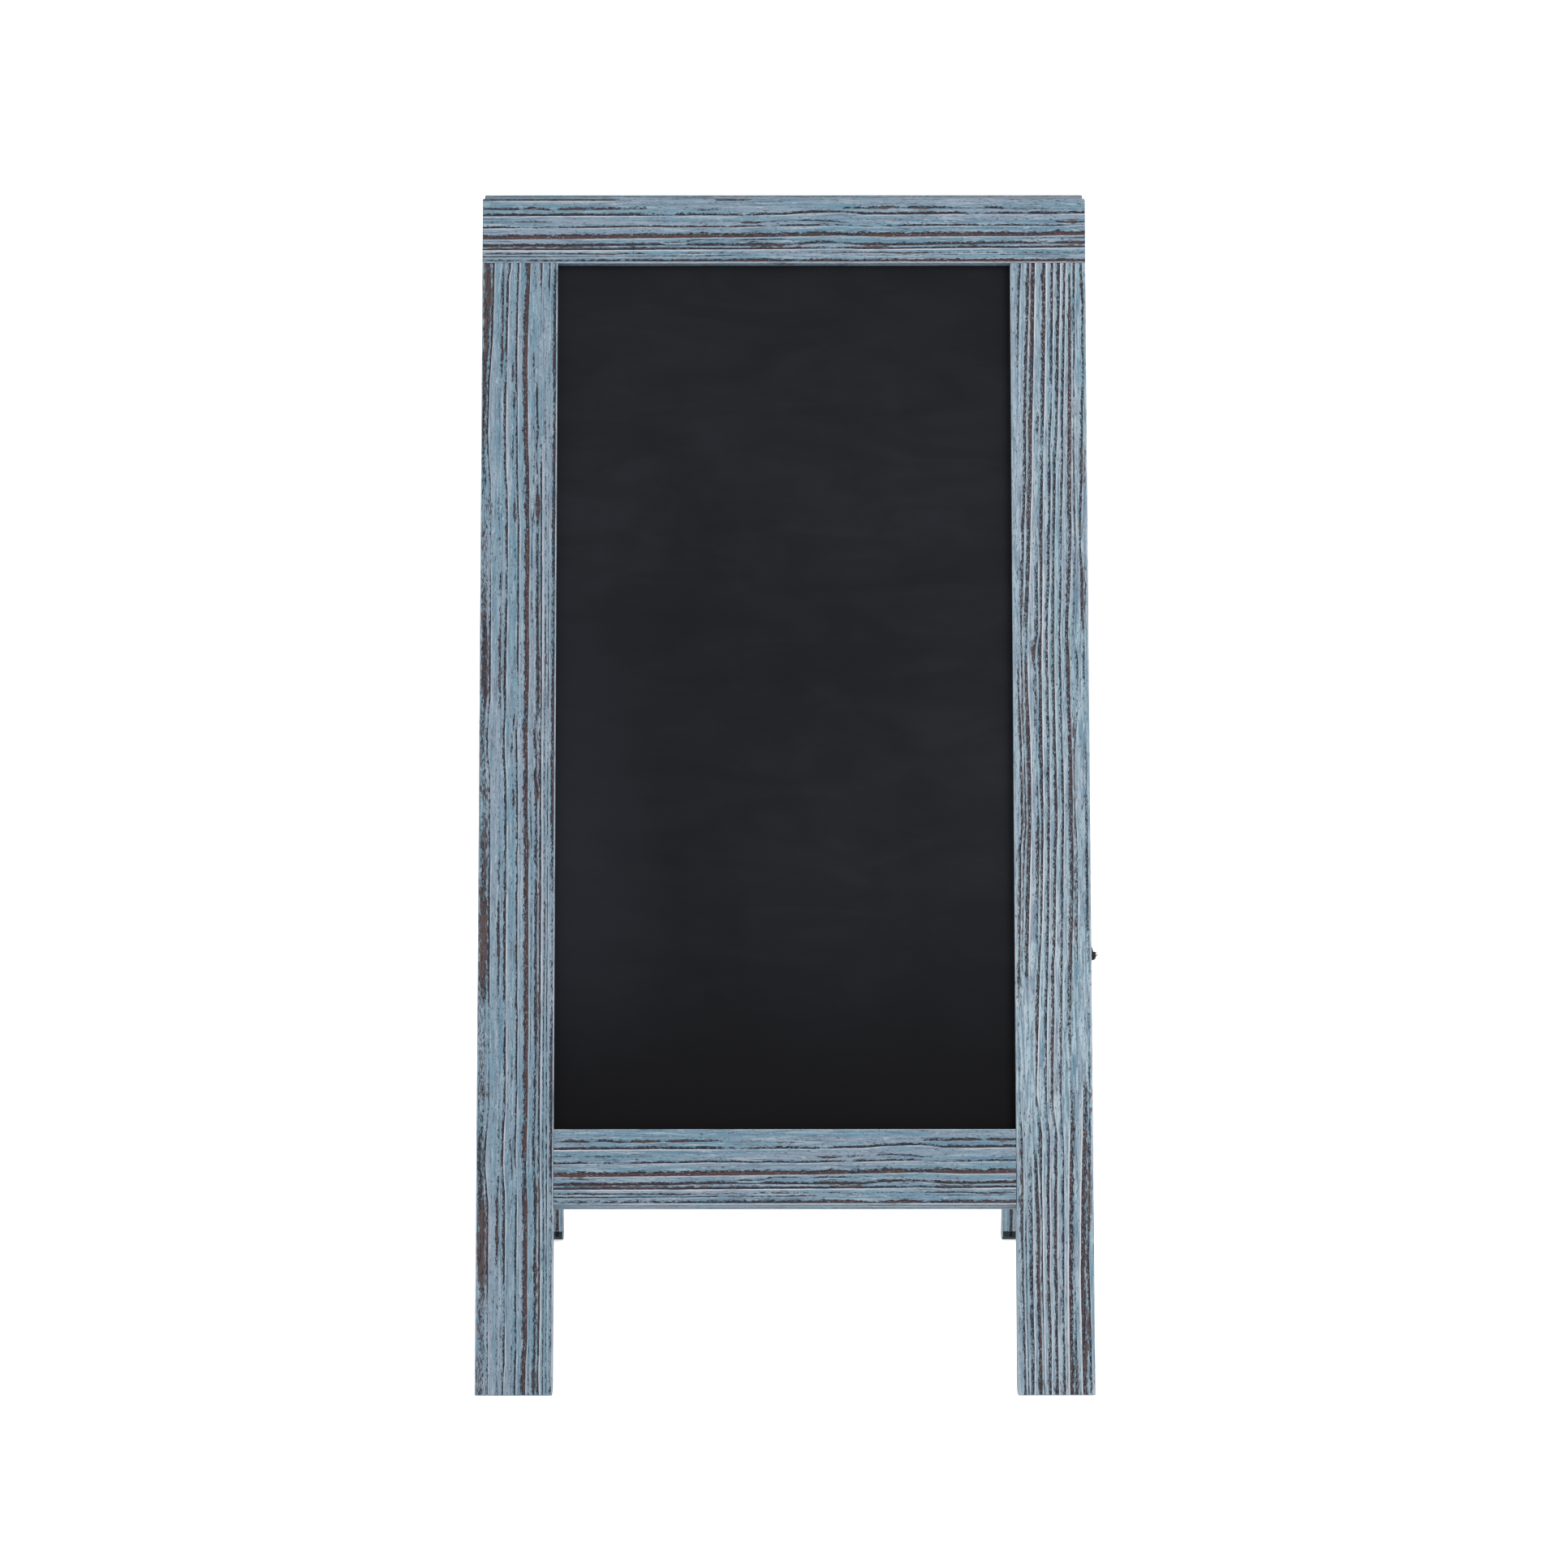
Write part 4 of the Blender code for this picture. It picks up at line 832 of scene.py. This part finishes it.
def ring_places(length, slot_start, slot_end):
    """U of each ring, with two at each end of the slot, and whether the slot is cut there."""
    u = np.linspace(END_EASE, length - END_EASE, int(length / RING_STEP) + 1)
    u = np.sort(np.concatenate(([0.0], u, [length, slot_start, slot_start, slot_end, slot_end])))
    slotted = (u > slot_start) & (u < slot_end)
    slotted[np.flatnonzero(u == slot_start)[-1]] = True
    slotted[np.flatnonzero(u == slot_end)[0]] = True
    return u, slotted


def lay_out(rows, rings, width, thick):
    """V, W, figure (coat, rim and tone) and worn share of every point, by row and ring."""
    shape = (len(rows), rings)
    V, W, worn, figure = np.empty(shape), np.empty(shape), np.empty(shape), np.empty(shape + (3,))
    for index, row in enumerate(rows):
        V[index], W[index] = row.corner or (
            (row.s, thick - row.depth),
            (width - row.depth, thick - row.s),
            (width - row.s, row.depth),
            (row.depth, row.s),
        )[row.face]
        for channel, value in enumerate((row.coat, row.rim, row.tone)):
            figure[index, :, channel] = value
        worn[index] = row.worn
    for ring in (0, rings - 1):
        V[:, ring] = width / 2 + (V[:, ring] - width / 2) * (1 - END_EASE / (width / 2))
        W[:, ring] = thick / 2 + (W[:, ring] - thick / 2) * (1 - END_EASE / (thick / 2))
        figure[:, ring] = 0
        worn[:, ring] = 0.3
    return V, W, figure, worn


def level_foot(U, W, inner, length, thick, lean):
    """U with a leg's end level with the floor, and the height of its inner face above the cut."""
    fold = FOOT_CHAMFER * math.cos(lean)
    floor = length - (thick - W) * math.tan(lean)
    corner = length - (thick - fold) * math.tan(lean)
    tip = length - thick * math.tan(lean) - FOOT_CHAMFER
    cut = np.where(W < fold, tip + (corner - tip) * W / fold, floor)
    begin = length - FOOT_BEND
    share = np.clip((U - begin) / (length - begin), 0, 1)
    U = np.where(U > begin, begin + share * (cut - begin), U)
    lift = np.ones_like(U)
    lift[inner] = (cut - U)[inner]
    return U, lift


def skin(rows, rings):
    """Quads between the rows, and the caps at both ends. A foot's cap is in two parts."""
    count = len(rows)
    quads = [
        (i * rings + j, (i + 1) % count * rings + j, (i + 1) % count * rings + j + 1, i * rings + j + 1)
        for i in range(count) for j in range(rings - 1)
    ]
    first = [i * rings for i in range(count)]
    last = [i * rings + rings - 1 for i in range(count)]
    folds = [i for i, row in enumerate(rows) if row.folds_cap]
    if not folds:
        return quads, [first, last]
    a, b = folds
    return quads, [first, last[a:b + 1], last[b:] + last[:a + 1]]


def put_attributes(mesh, kind, field, values):
    for label, value in values.items():
        mesh.attributes.new(label, kind, "POINT").data.foreach_set(field, value.reshape(-1))


def clean(mesh):
    """Closes the ends of the slot, splits the many-sided caps and turns every face outward."""
    work = bmesh.new()
    work.from_mesh(mesh)
    bmesh.ops.remove_doubles(work, verts=work.verts, dist=1e-6)
    bmesh.ops.dissolve_degenerate(work, edges=work.edges, dist=1e-7)
    bmesh.ops.triangulate(work, faces=[f for f in work.faces if len(f.verts) > 4], ngon_method="EAR_CLIP")
    bmesh.ops.recalc_face_normals(work, faces=work.faces)
    work.to_mesh(mesh)
    work.free()


def timber(node, end, u_axis, v_axis, start, grooves, patches, seed, slot_face, slot_start, slot_end,
           foot=False, wash=0.0, edge_line=None, back=()):
    """One length of timber in place of its CAD node. start is the figure's mm mark at U = 0,
    and wash is how far its paint has gone pale: a number, or (mm mark, share) pairs. edge_line is
    a groove's strength along the outer edge at V = 0, as (mm mark, strength) pairs. back lists
    grooves for the inner face, each as (width in mm, brown, pale edge, fraction across)."""
    low, high = extent(node, end)
    along, across, outward = AXES[u_axis], AXES[v_axis], Vector((0, SIDE[end], 0))
    size = Vector(high) - Vector(low)
    length, width, thick = abs(size.dot(along)), abs(size.dot(across)), size.y
    origin = Vector((
        high[0] if "-x" in (u_axis, v_axis) else low[0],
        low[1] if SIDE[end] > 0 else high[1],
        high[2],
    ))
    rng = np.random.RandomState(seed)
    u, slotted = ring_places(length, slot_start, slot_end)
    u_figure = u + start * MM
    marks = u_figure / MM
    zero = np.zeros_like(u)
    edge_coat = np.interp(marks, *zip(*edge_line)) if edge_line else None
    fold = FOOT_CHAMFER * math.cos(LEAN[end])

    rows = []
    for face, span in enumerate((width, thick, width, thick)):
        figure = (grooves, patches) if face == 0 else hidden_figure(
            face, span, start, start + length / MM, seed, back)
        near = SLOT if face == 1 else (thick - SLOT[1], thick - SLOT[0])
        keep_out = (near[0] - SLOT_MARGIN, near[1] + SLOT_MARGIN) if face == slot_face else None
        made = face_rows(face, u_figure, span, *figure, rng, keep_out)
        if face == slot_face:
            deep = np.where(slotted, SLOT_DEPTH, 0.0)
            walls = ((near[0], 0.0), (near[0], deep), (near[1], deep), (near[1], 0.0))
            made = make_way(made, [Row(face, zero + s, depth) for s, depth in walls], *near)
        if foot and face in (1, 3):
            at = thick - fold if face == 1 else fold
            crease = Row(face, zero + at)
            crease.folds_cap = True
            made = make_way(made, [crease], at, at)
        rows += made + corner_rows(face, width, thick, edge_coat)

    V, W, figure, worn = lay_out(rows, len(u), width, thick)
    U = np.repeat(u[None, :], len(rows), 0)
    lift = np.ones_like(U)
    if foot:
        inner = np.array([row.face == 2 and not row.corner for row in rows])
        U, lift = level_foot(U, W, inner, length, thick, LEAN[end])
    points = np.array(origin)[None, None]
    for amount, axis in ((U, along), (V, across), (W, outward)):
        points = points + amount[..., None] * np.array(axis)
    matrix = np.array(PANEL[end])
    points = points.reshape(-1, 3) @ matrix[:3, :3].T + matrix[:3, 3]

    quads, caps = skin(rows, len(u))
    mesh = bpy.data.meshes.new(f"{node}_timber")
    mesh.from_pydata(points.tolist(), [], quads + caps)
    grain = np.stack((U + seed * 1.37, V + seed * 0.61, W + seed * 0.29), -1)
    faded = np.full_like(U, wash) if isinstance(wash, float) else np.interp(marks, *zip(*wash)) + 0 * U
    put_attributes(mesh, "FLOAT_VECTOR", "vector", {"grain": grain, "figure": figure})
    put_attributes(mesh, "FLOAT", "value", {"worn": worn, "pale": faded, "lift": lift})
    # a foot's cut end takes the material darkened with painted shade
    for polygon in list(mesh.polygons)[len(quads) + 1:]:
        polygon.material_index = int(foot)
    clean(mesh)
    mesh.shade_smooth()
    mesh.set_sharp_from_angle(angle=math.radians(SHARP))
    mesh.materials.append(PAINT)
    mesh.materials.append(SHADED_FOOT_END)
    piece = new_piece(mesh)
    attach(piece, f"{end}_frame")
    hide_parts(node)
    return piece


def bolder(grooves):
    """The same grooves, a little wider and with stronger pale edges."""
    return tuple((w * 1.2, b * 0.65, min(1.3, p + 0.35), s, points) for w, b, p, s, points in grooves)


# ---------------------------------------------------------------- boards and hardware

def set_material(node, material):
    mesh = frame["nodes"][node].data
    mesh.materials.clear()
    mesh.materials.append(material)


for node in frame["nodes"]:
    if "dowel" in node:
        set_material(node, BEECH)
    elif "hinge" in node:
        set_material(node, STEEL)
for which in SIDE:
    board = frame["nodes"][f"{which}_chalkboard"]
    set_material(board.name, CHALK)
    board.data.materials.append(BACK)
    for polygon in board.data.polygons:
        polygon.material_index = int(polygon.normal.y * SIDE[which] < -0.5)


# ---------------------------------------------------------------- the two frames

LEG_MARK = 56                                     # each figure's mm mark at its timber's start
TOP_RAIL_MARK = {"front": -254, "rear": -231}
LOW_RAIL_MARK = {"front": -254, "rear": -214}
SEED = {"front": 1, "rear": 21}
# the groove that the photo shows inside each rear foot, as timber() takes it
FOOT_GROOVE = {"left": (2.4, 0.9, 0.7, 0.93), "right": (2.4, 0.9, 0.7, 0.17)}


def make_rails(end, rail_axis, opening):
    low, high = extent(f"{end}_top_rail", end)
    overhang = opening[0][0] - low[0] - CLEAR
    timber(f"{end}_top_rail", end, rail_axis, "-z", TOP_RAIL_MARK[end], RAIL_GROOVES, RAIL_WORN,
           SEED[end], 1, overhang, high[0] - low[0] - overhang, edge_line=RAIL_EDGE)
    low, high = extent(f"{end}_bottom_rail", end)
    timber(f"{end}_bottom_rail", end, rail_axis, "-z", LOW_RAIL_MARK[end], RAIL_GROOVES[1:], RAIL_WORN,
           SEED[end] + 1, 3, 0.0, high[0] - low[0])


def make_leg(end, hand, rail_axis, opening):
    """A leg. The rear frame is turned about, so the figure seen on the left is on its right leg."""
    seen_left = (hand == "left") == (end == "front")
    _, high = extent(f"{end}_{hand}_leg", end)
    grooves, patches, wash = (
        (LEFT_LEG_GROOVES, LEFT_LEG_WORN, LEFT_LEG_WASH) if seen_left else
        (bolder(RIGHT_LEG_GROOVES), RIGHT_LEG_WORN, RIGHT_LEG_WASH)
    )
    return timber(f"{end}_{hand}_leg", end, "-z", rail_axis, LEG_MARK, grooves, patches,
                  SEED[end] + (2 if seen_left else 3), 1 if seen_left else 3,
                  0.0, high[2] - opening[0][2] + CLEAR, foot=True, wash=wash,
                  back=(FOOT_GROOVE[hand],) if end == "rear" else ())


cord_legs = {}
for which in SIDE:
    rail_axis = "x" if which == "front" else "-x"
    opening = extent(f"{which}_chalkboard", which)
    make_rails(which, rail_axis, opening)
    for hand in HANDS:
        leg = make_leg(which, hand, rail_axis, opening)
        if hand == "right":
            cord_legs[which] = leg


# ---------------------------------------------------------------- holes for the stay cord

CORD_HOLE = 2.2 * MM              # radius
KNOT_SEAT = 4.5 * MM              # radius of the countersink that holds a knot
SEAT_DEPTH = 4.0 * MM
SEAT_FLOOR = 254 * MM - SEAT_DEPTH
BORE_FROM, BORE_TO = 0.15, 0.27   # X of the cutter's ends, clear of the leg


def turned(name, points, centre, sides=32):
    """A closed solid turned about an X axis through centre, from (x, radius) points."""
    turns = [2 * math.pi * k / sides for k in range(sides)]
    verts = [
        Vector((x, centre.y + radius * math.cos(turn), centre.z + radius * math.sin(turn)))
        for x, radius in points for turn in turns
    ]
    mesh = bpy.data.meshes.new(name)
    mesh.from_pydata(verts, [], tube_faces(len(points), sides))
    work = bmesh.new()
    work.from_mesh(mesh)
    bmesh.ops.recalc_face_normals(work, faces=work.faces)
    work.to_mesh(mesh)
    work.free()
    return new_piece(mesh)


def bore_for_cord(piece, end):
    """Cut the cord's hole through a leg, and the seat of its knot."""
    low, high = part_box(f"{end}_stay_knot")
    outline = ((BORE_FROM, CORD_HOLE), (SEAT_FLOOR, CORD_HOLE), (SEAT_FLOOR, KNOT_SEAT), (BORE_TO, KNOT_SEAT))
    cutter = turned("cutter", outline, (low + high) / 2)
    modifier = piece.modifiers.new("bore", "BOOLEAN")
    modifier.solver = "MANIFOLD"
    modifier.operation = "DIFFERENCE"
    modifier.object = cutter
    bored = bpy.data.meshes.new_from_object(piece.evaluated_get(bpy.context.evaluated_depsgraph_get()))
    piece.modifiers.clear()
    piece.data = bored
    bpy.data.objects.remove(cutter)


for which, leg in cord_legs.items():
    bore_for_cord(leg, which)


# ---------------------------------------------------------------- the stay cord

CORD_DIAMETER = 3.0 * MM
CORD_RING = 0.5 * MM
CORD_PATH_STEP = 7.8 * MM
STAY_ROUTE = (
    (0.2500, -0.2215, 0.3428), (0.2202, -0.2215, 0.3428), (0.1920, -0.2215, 0.3428),
    (0.1858, -0.2192, 0.3428), (0.1830, -0.2121, 0.3428), (0.1824, -0.1915, 0.3428),
    (0.1899, 0.1915, 0.3428), (0.1905, 0.2121, 0.3428), (0.1934, 0.2192, 0.3428),
    (0.1995, 0.2215, 0.3428), (0.2240, 0.2215, 0.3428), (0.2500, 0.2215, 0.3428),
)
BEND_START, BEND_END = (0.18, -0.19, 0.3428), (0.18, 0.19, 0.3428)


def centripetal(a, b, c, d, knots, t):
    """The centripetal Catmull-Rom point at t between b and c, by repeated mixing."""

    def mix(p, q, low, high):
        return p.lerp(q, (t - low) / (high - low))

    k0, k1, k2, k3 = knots
    ab, bc, cd = mix(a, b, k0, k1), mix(b, c, k1, k2), mix(c, d, k2, k3)
    return mix(mix(ab, bc, k0, k2), mix(bc, cd, k1, k3), k1, k2)


def smooth_through(points, step):
    """Points about step apart on a Catmull-Rom curve through the route."""
    ends = [2 * points[0] - points[1], *points, 2 * points[-1] - points[-2]]
    line = []
    for a, b, c, d in zip(ends, ends[1:], ends[2:], ends[3:]):
        count = max(1, round((c - b).length / step))
        knots = [0.0]
        for p, q in ((a, b), (b, c), (c, d)):
            knots.append(knots[-1] + math.sqrt((q - p).length))
        for i in range(count):
            t = knots[1] + (knots[2] - knots[1]) * i / count
            line.append(centripetal(a, b, c, d, knots, t))
    line.append(points[-1])
    return line


def tube(name, line, radius_at, sides=24):
    """A closed tube along a line of points; radius_at(ring, angle) is its radius there."""
    verts = []
    up = Vector((0, 0, 1))
    for i, point in enumerate(line):
        ahead = (line[min(i + 1, len(line) - 1)] - line[max(i - 1, 0)]).normalized()
        if i == 0:
            across = ahead.cross(up if abs(ahead.z) < 0.9 else Vector((1, 0, 0))).normalized()
        else:
            across = (across - ahead * across.dot(ahead)).normalized()
        other = ahead.cross(across)
        for k in range(sides):
            angle = 2 * math.pi * k / sides
            verts.append(point + (across * math.cos(angle) + other * math.sin(angle)) * radius_at(i, angle))
    mesh = bpy.data.meshes.new(name)
    mesh.from_pydata(verts, [], tube_faces(len(line), sides))
    mesh.shade_smooth()
    mesh.materials.append(BLACK)
    return new_piece(mesh)


def braid(pitch, ring_length, radius, depth):
    """Radius of a round braid: two sets of strands winding opposite ways."""
    def radius_at(ring, angle):
        turn = 2 * math.pi * ring * ring_length / pitch
        one = abs(math.sin(4 * angle + turn))
        two = abs(math.sin(4 * angle - turn))
        return radius - depth * (1 - max(one, two))
    return radius_at


def knot_line(centre, reach):
    """A figure-of-eight knot's centre line, about reach wide and flat against the leg."""
    line = []
    for i in range(91):
        t = 2 * math.pi * i / 90
        x = math.sin(t) + 2 * math.sin(2 * t)
        y = math.cos(t) - 2 * math.cos(2 * t)
        z = -math.sin(3 * t)
        line.append(Vector((z * 2.0 * MM + 0.8 * MM, x * reach / 3, y * reach / 3)) + centre)
    return line


def fibre(name, tip, rng):
    """One short fibre out of the knot's cut end."""
    spread = rng.uniform(-1, 1, 2)
    reach = rng.uniform(1.8, 3.9) * MM
    start = tip + Vector((0, spread[0] * 1.0 * MM, spread[1] * 1.2 * MM))
    ahead = Vector((1.0, spread[0] * 0.55, spread[1] * 0.45 + rng.uniform(-0.15, 0.15))).normalized()
    sag = rng.uniform(-0.25, 0.25)
    line = [start + ahead * reach * k / 7 + Vector((0, 0, sag * reach * (k / 7) ** 2)) for k in range(8)]
    return tube(name, line, lambda ring, angle: (0.22 - 0.018 * ring) * MM, 6)


def upright_fibre(name, low, high, middle):
    """The one stiff end that stands up above the knot."""
    foot = Vector((low.x + 5.2 * MM, middle, high.z - 1.5 * MM))
    line = [foot + Vector((-0.4 * MM * k / 5, 0, 4.8 * MM * k / 5)) for k in range(6)]
    return tube(name, line, lambda ring, angle: (0.95 - 0.14 * ring) * MM, 8)


def frayed_knot(end):
    """A stopper knot with its cut end frayed out."""
    low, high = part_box(f"{end}_stay_knot")
    centre = (low + high) / 2
    rng = np.random.RandomState(7 if end == "front" else 8)
    strand = 1.45 * MM
    swell = 1.12
    line = knot_line(centre, (high.z - low.z) / 2 * swell - strand)
    knot = tube(f"{end}_stay_knot_tied", line, braid(5 * MM, 0.3 * MM, strand, 0.2 * MM), 16)
    tip = Vector((high.x - 1.2 * MM, centre.y, centre.z + 0.9 * MM))
    pieces = [knot] + [fibre(f"fibre_{end}_{index}", tip, rng) for index in range(16)]
    pieces.append(upright_fibre(f"fibre_{end}_up", low, high, centre.y))
    chosen = {"selected_objects": pieces, "selected_editable_objects": pieces}
    with bpy.context.temp_override(active_object=knot, **chosen):
        bpy.ops.object.join()
    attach(knot, f"{end}_frame")
    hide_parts(f"{end}_stay_knot")
    return knot


def spread_bend(piece):
    """Eased, a straight cord swings out through the boards when the sign folds. Spread evenly, it stays in
    the hollow behind them."""
    share = piece.data.attributes["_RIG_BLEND"].data
    eased = np.zeros(len(share), np.float32)
    share.foreach_get("value", eased)
    share.foreach_set("value", (0.5 - np.sin(np.arcsin(1 - 2 * eased) / 3)).astype(np.float32))


route = [Vector(point) for point in STAY_ROUTE]
cord_path = smooth_through(route, CORD_PATH_STEP)
stay = tube("stay_cord_braid", smooth_through(route, CORD_RING),
            braid(7 * MM, CORD_RING, CORD_DIAMETER / 2, 0.28 * MM))
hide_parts("stay_cord")
knots = [frayed_knot(which) for which in SIDE]
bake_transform(stay, "front_frame", "rear_frame", start=BEND_START, end=BEND_END)
spread_bend(stay)


# ---------------------------------------------------------------- floor and light

FLOOR_DROP = 0.2 * MM             # so that the feet and the floor don't share a plane


def white_floor():
    g = Graph("white_floor")
    place = g.position()
    mottle = g.noise(place, 6, 3)
    g.put(g.shader.inputs["Base Color"], g.mix(mottle, (0.84, 0.84, 0.84, 1), (0.87, 0.87, 0.87, 1)))
    g.shader.inputs["Emission Color"].default_value = (1, 1, 1, 1)
    g.shader.inputs["Emission Strength"].default_value = 0.58
    g.shader.inputs["Roughness"].default_value = 0.9
    g.shader.inputs["Specular IOR Level"].default_value = 0.0
    return g.material


floor_mesh = bpy.data.meshes.new("floor")
floor_mesh.from_pydata([(-30, -30, 0), (30, -30, 0), (30, 60, 0), (-30, 60, 0)], [], [(0, 1, 2, 3)])
floor_mesh.materials.append(white_floor())
floor = new_piece(floor_mesh)
floor.location.z = -FLOOR_DROP

world = bpy.data.worlds.new("studio")
bpy.context.scene.world = world
world.use_nodes = True
world.node_tree.nodes["Background"].inputs["Color"].default_value = (1, 1, 1, 1)
world.node_tree.nodes["Background"].inputs["Strength"].default_value = 1.0


def softbox(name, place, aim, size, power):
    """A square soft light at place, turned towards aim."""
    data = bpy.data.lights.new(name, "AREA")
    data.size = size
    data.energy = power
    light = new_piece(data)
    light.location = place
    light.rotation_mode = "QUATERNION"
    light.rotation_quaternion = (Vector(aim) - Vector(place)).to_track_quat("-Z", "Y")


softbox("key", (2.4, -3.6, 3.0), (0, 0, 0.5), 2.2, 120)

bpy.context.scene.view_settings.view_transform = "Standard"
bpy.context.scene.view_settings.look = "None"
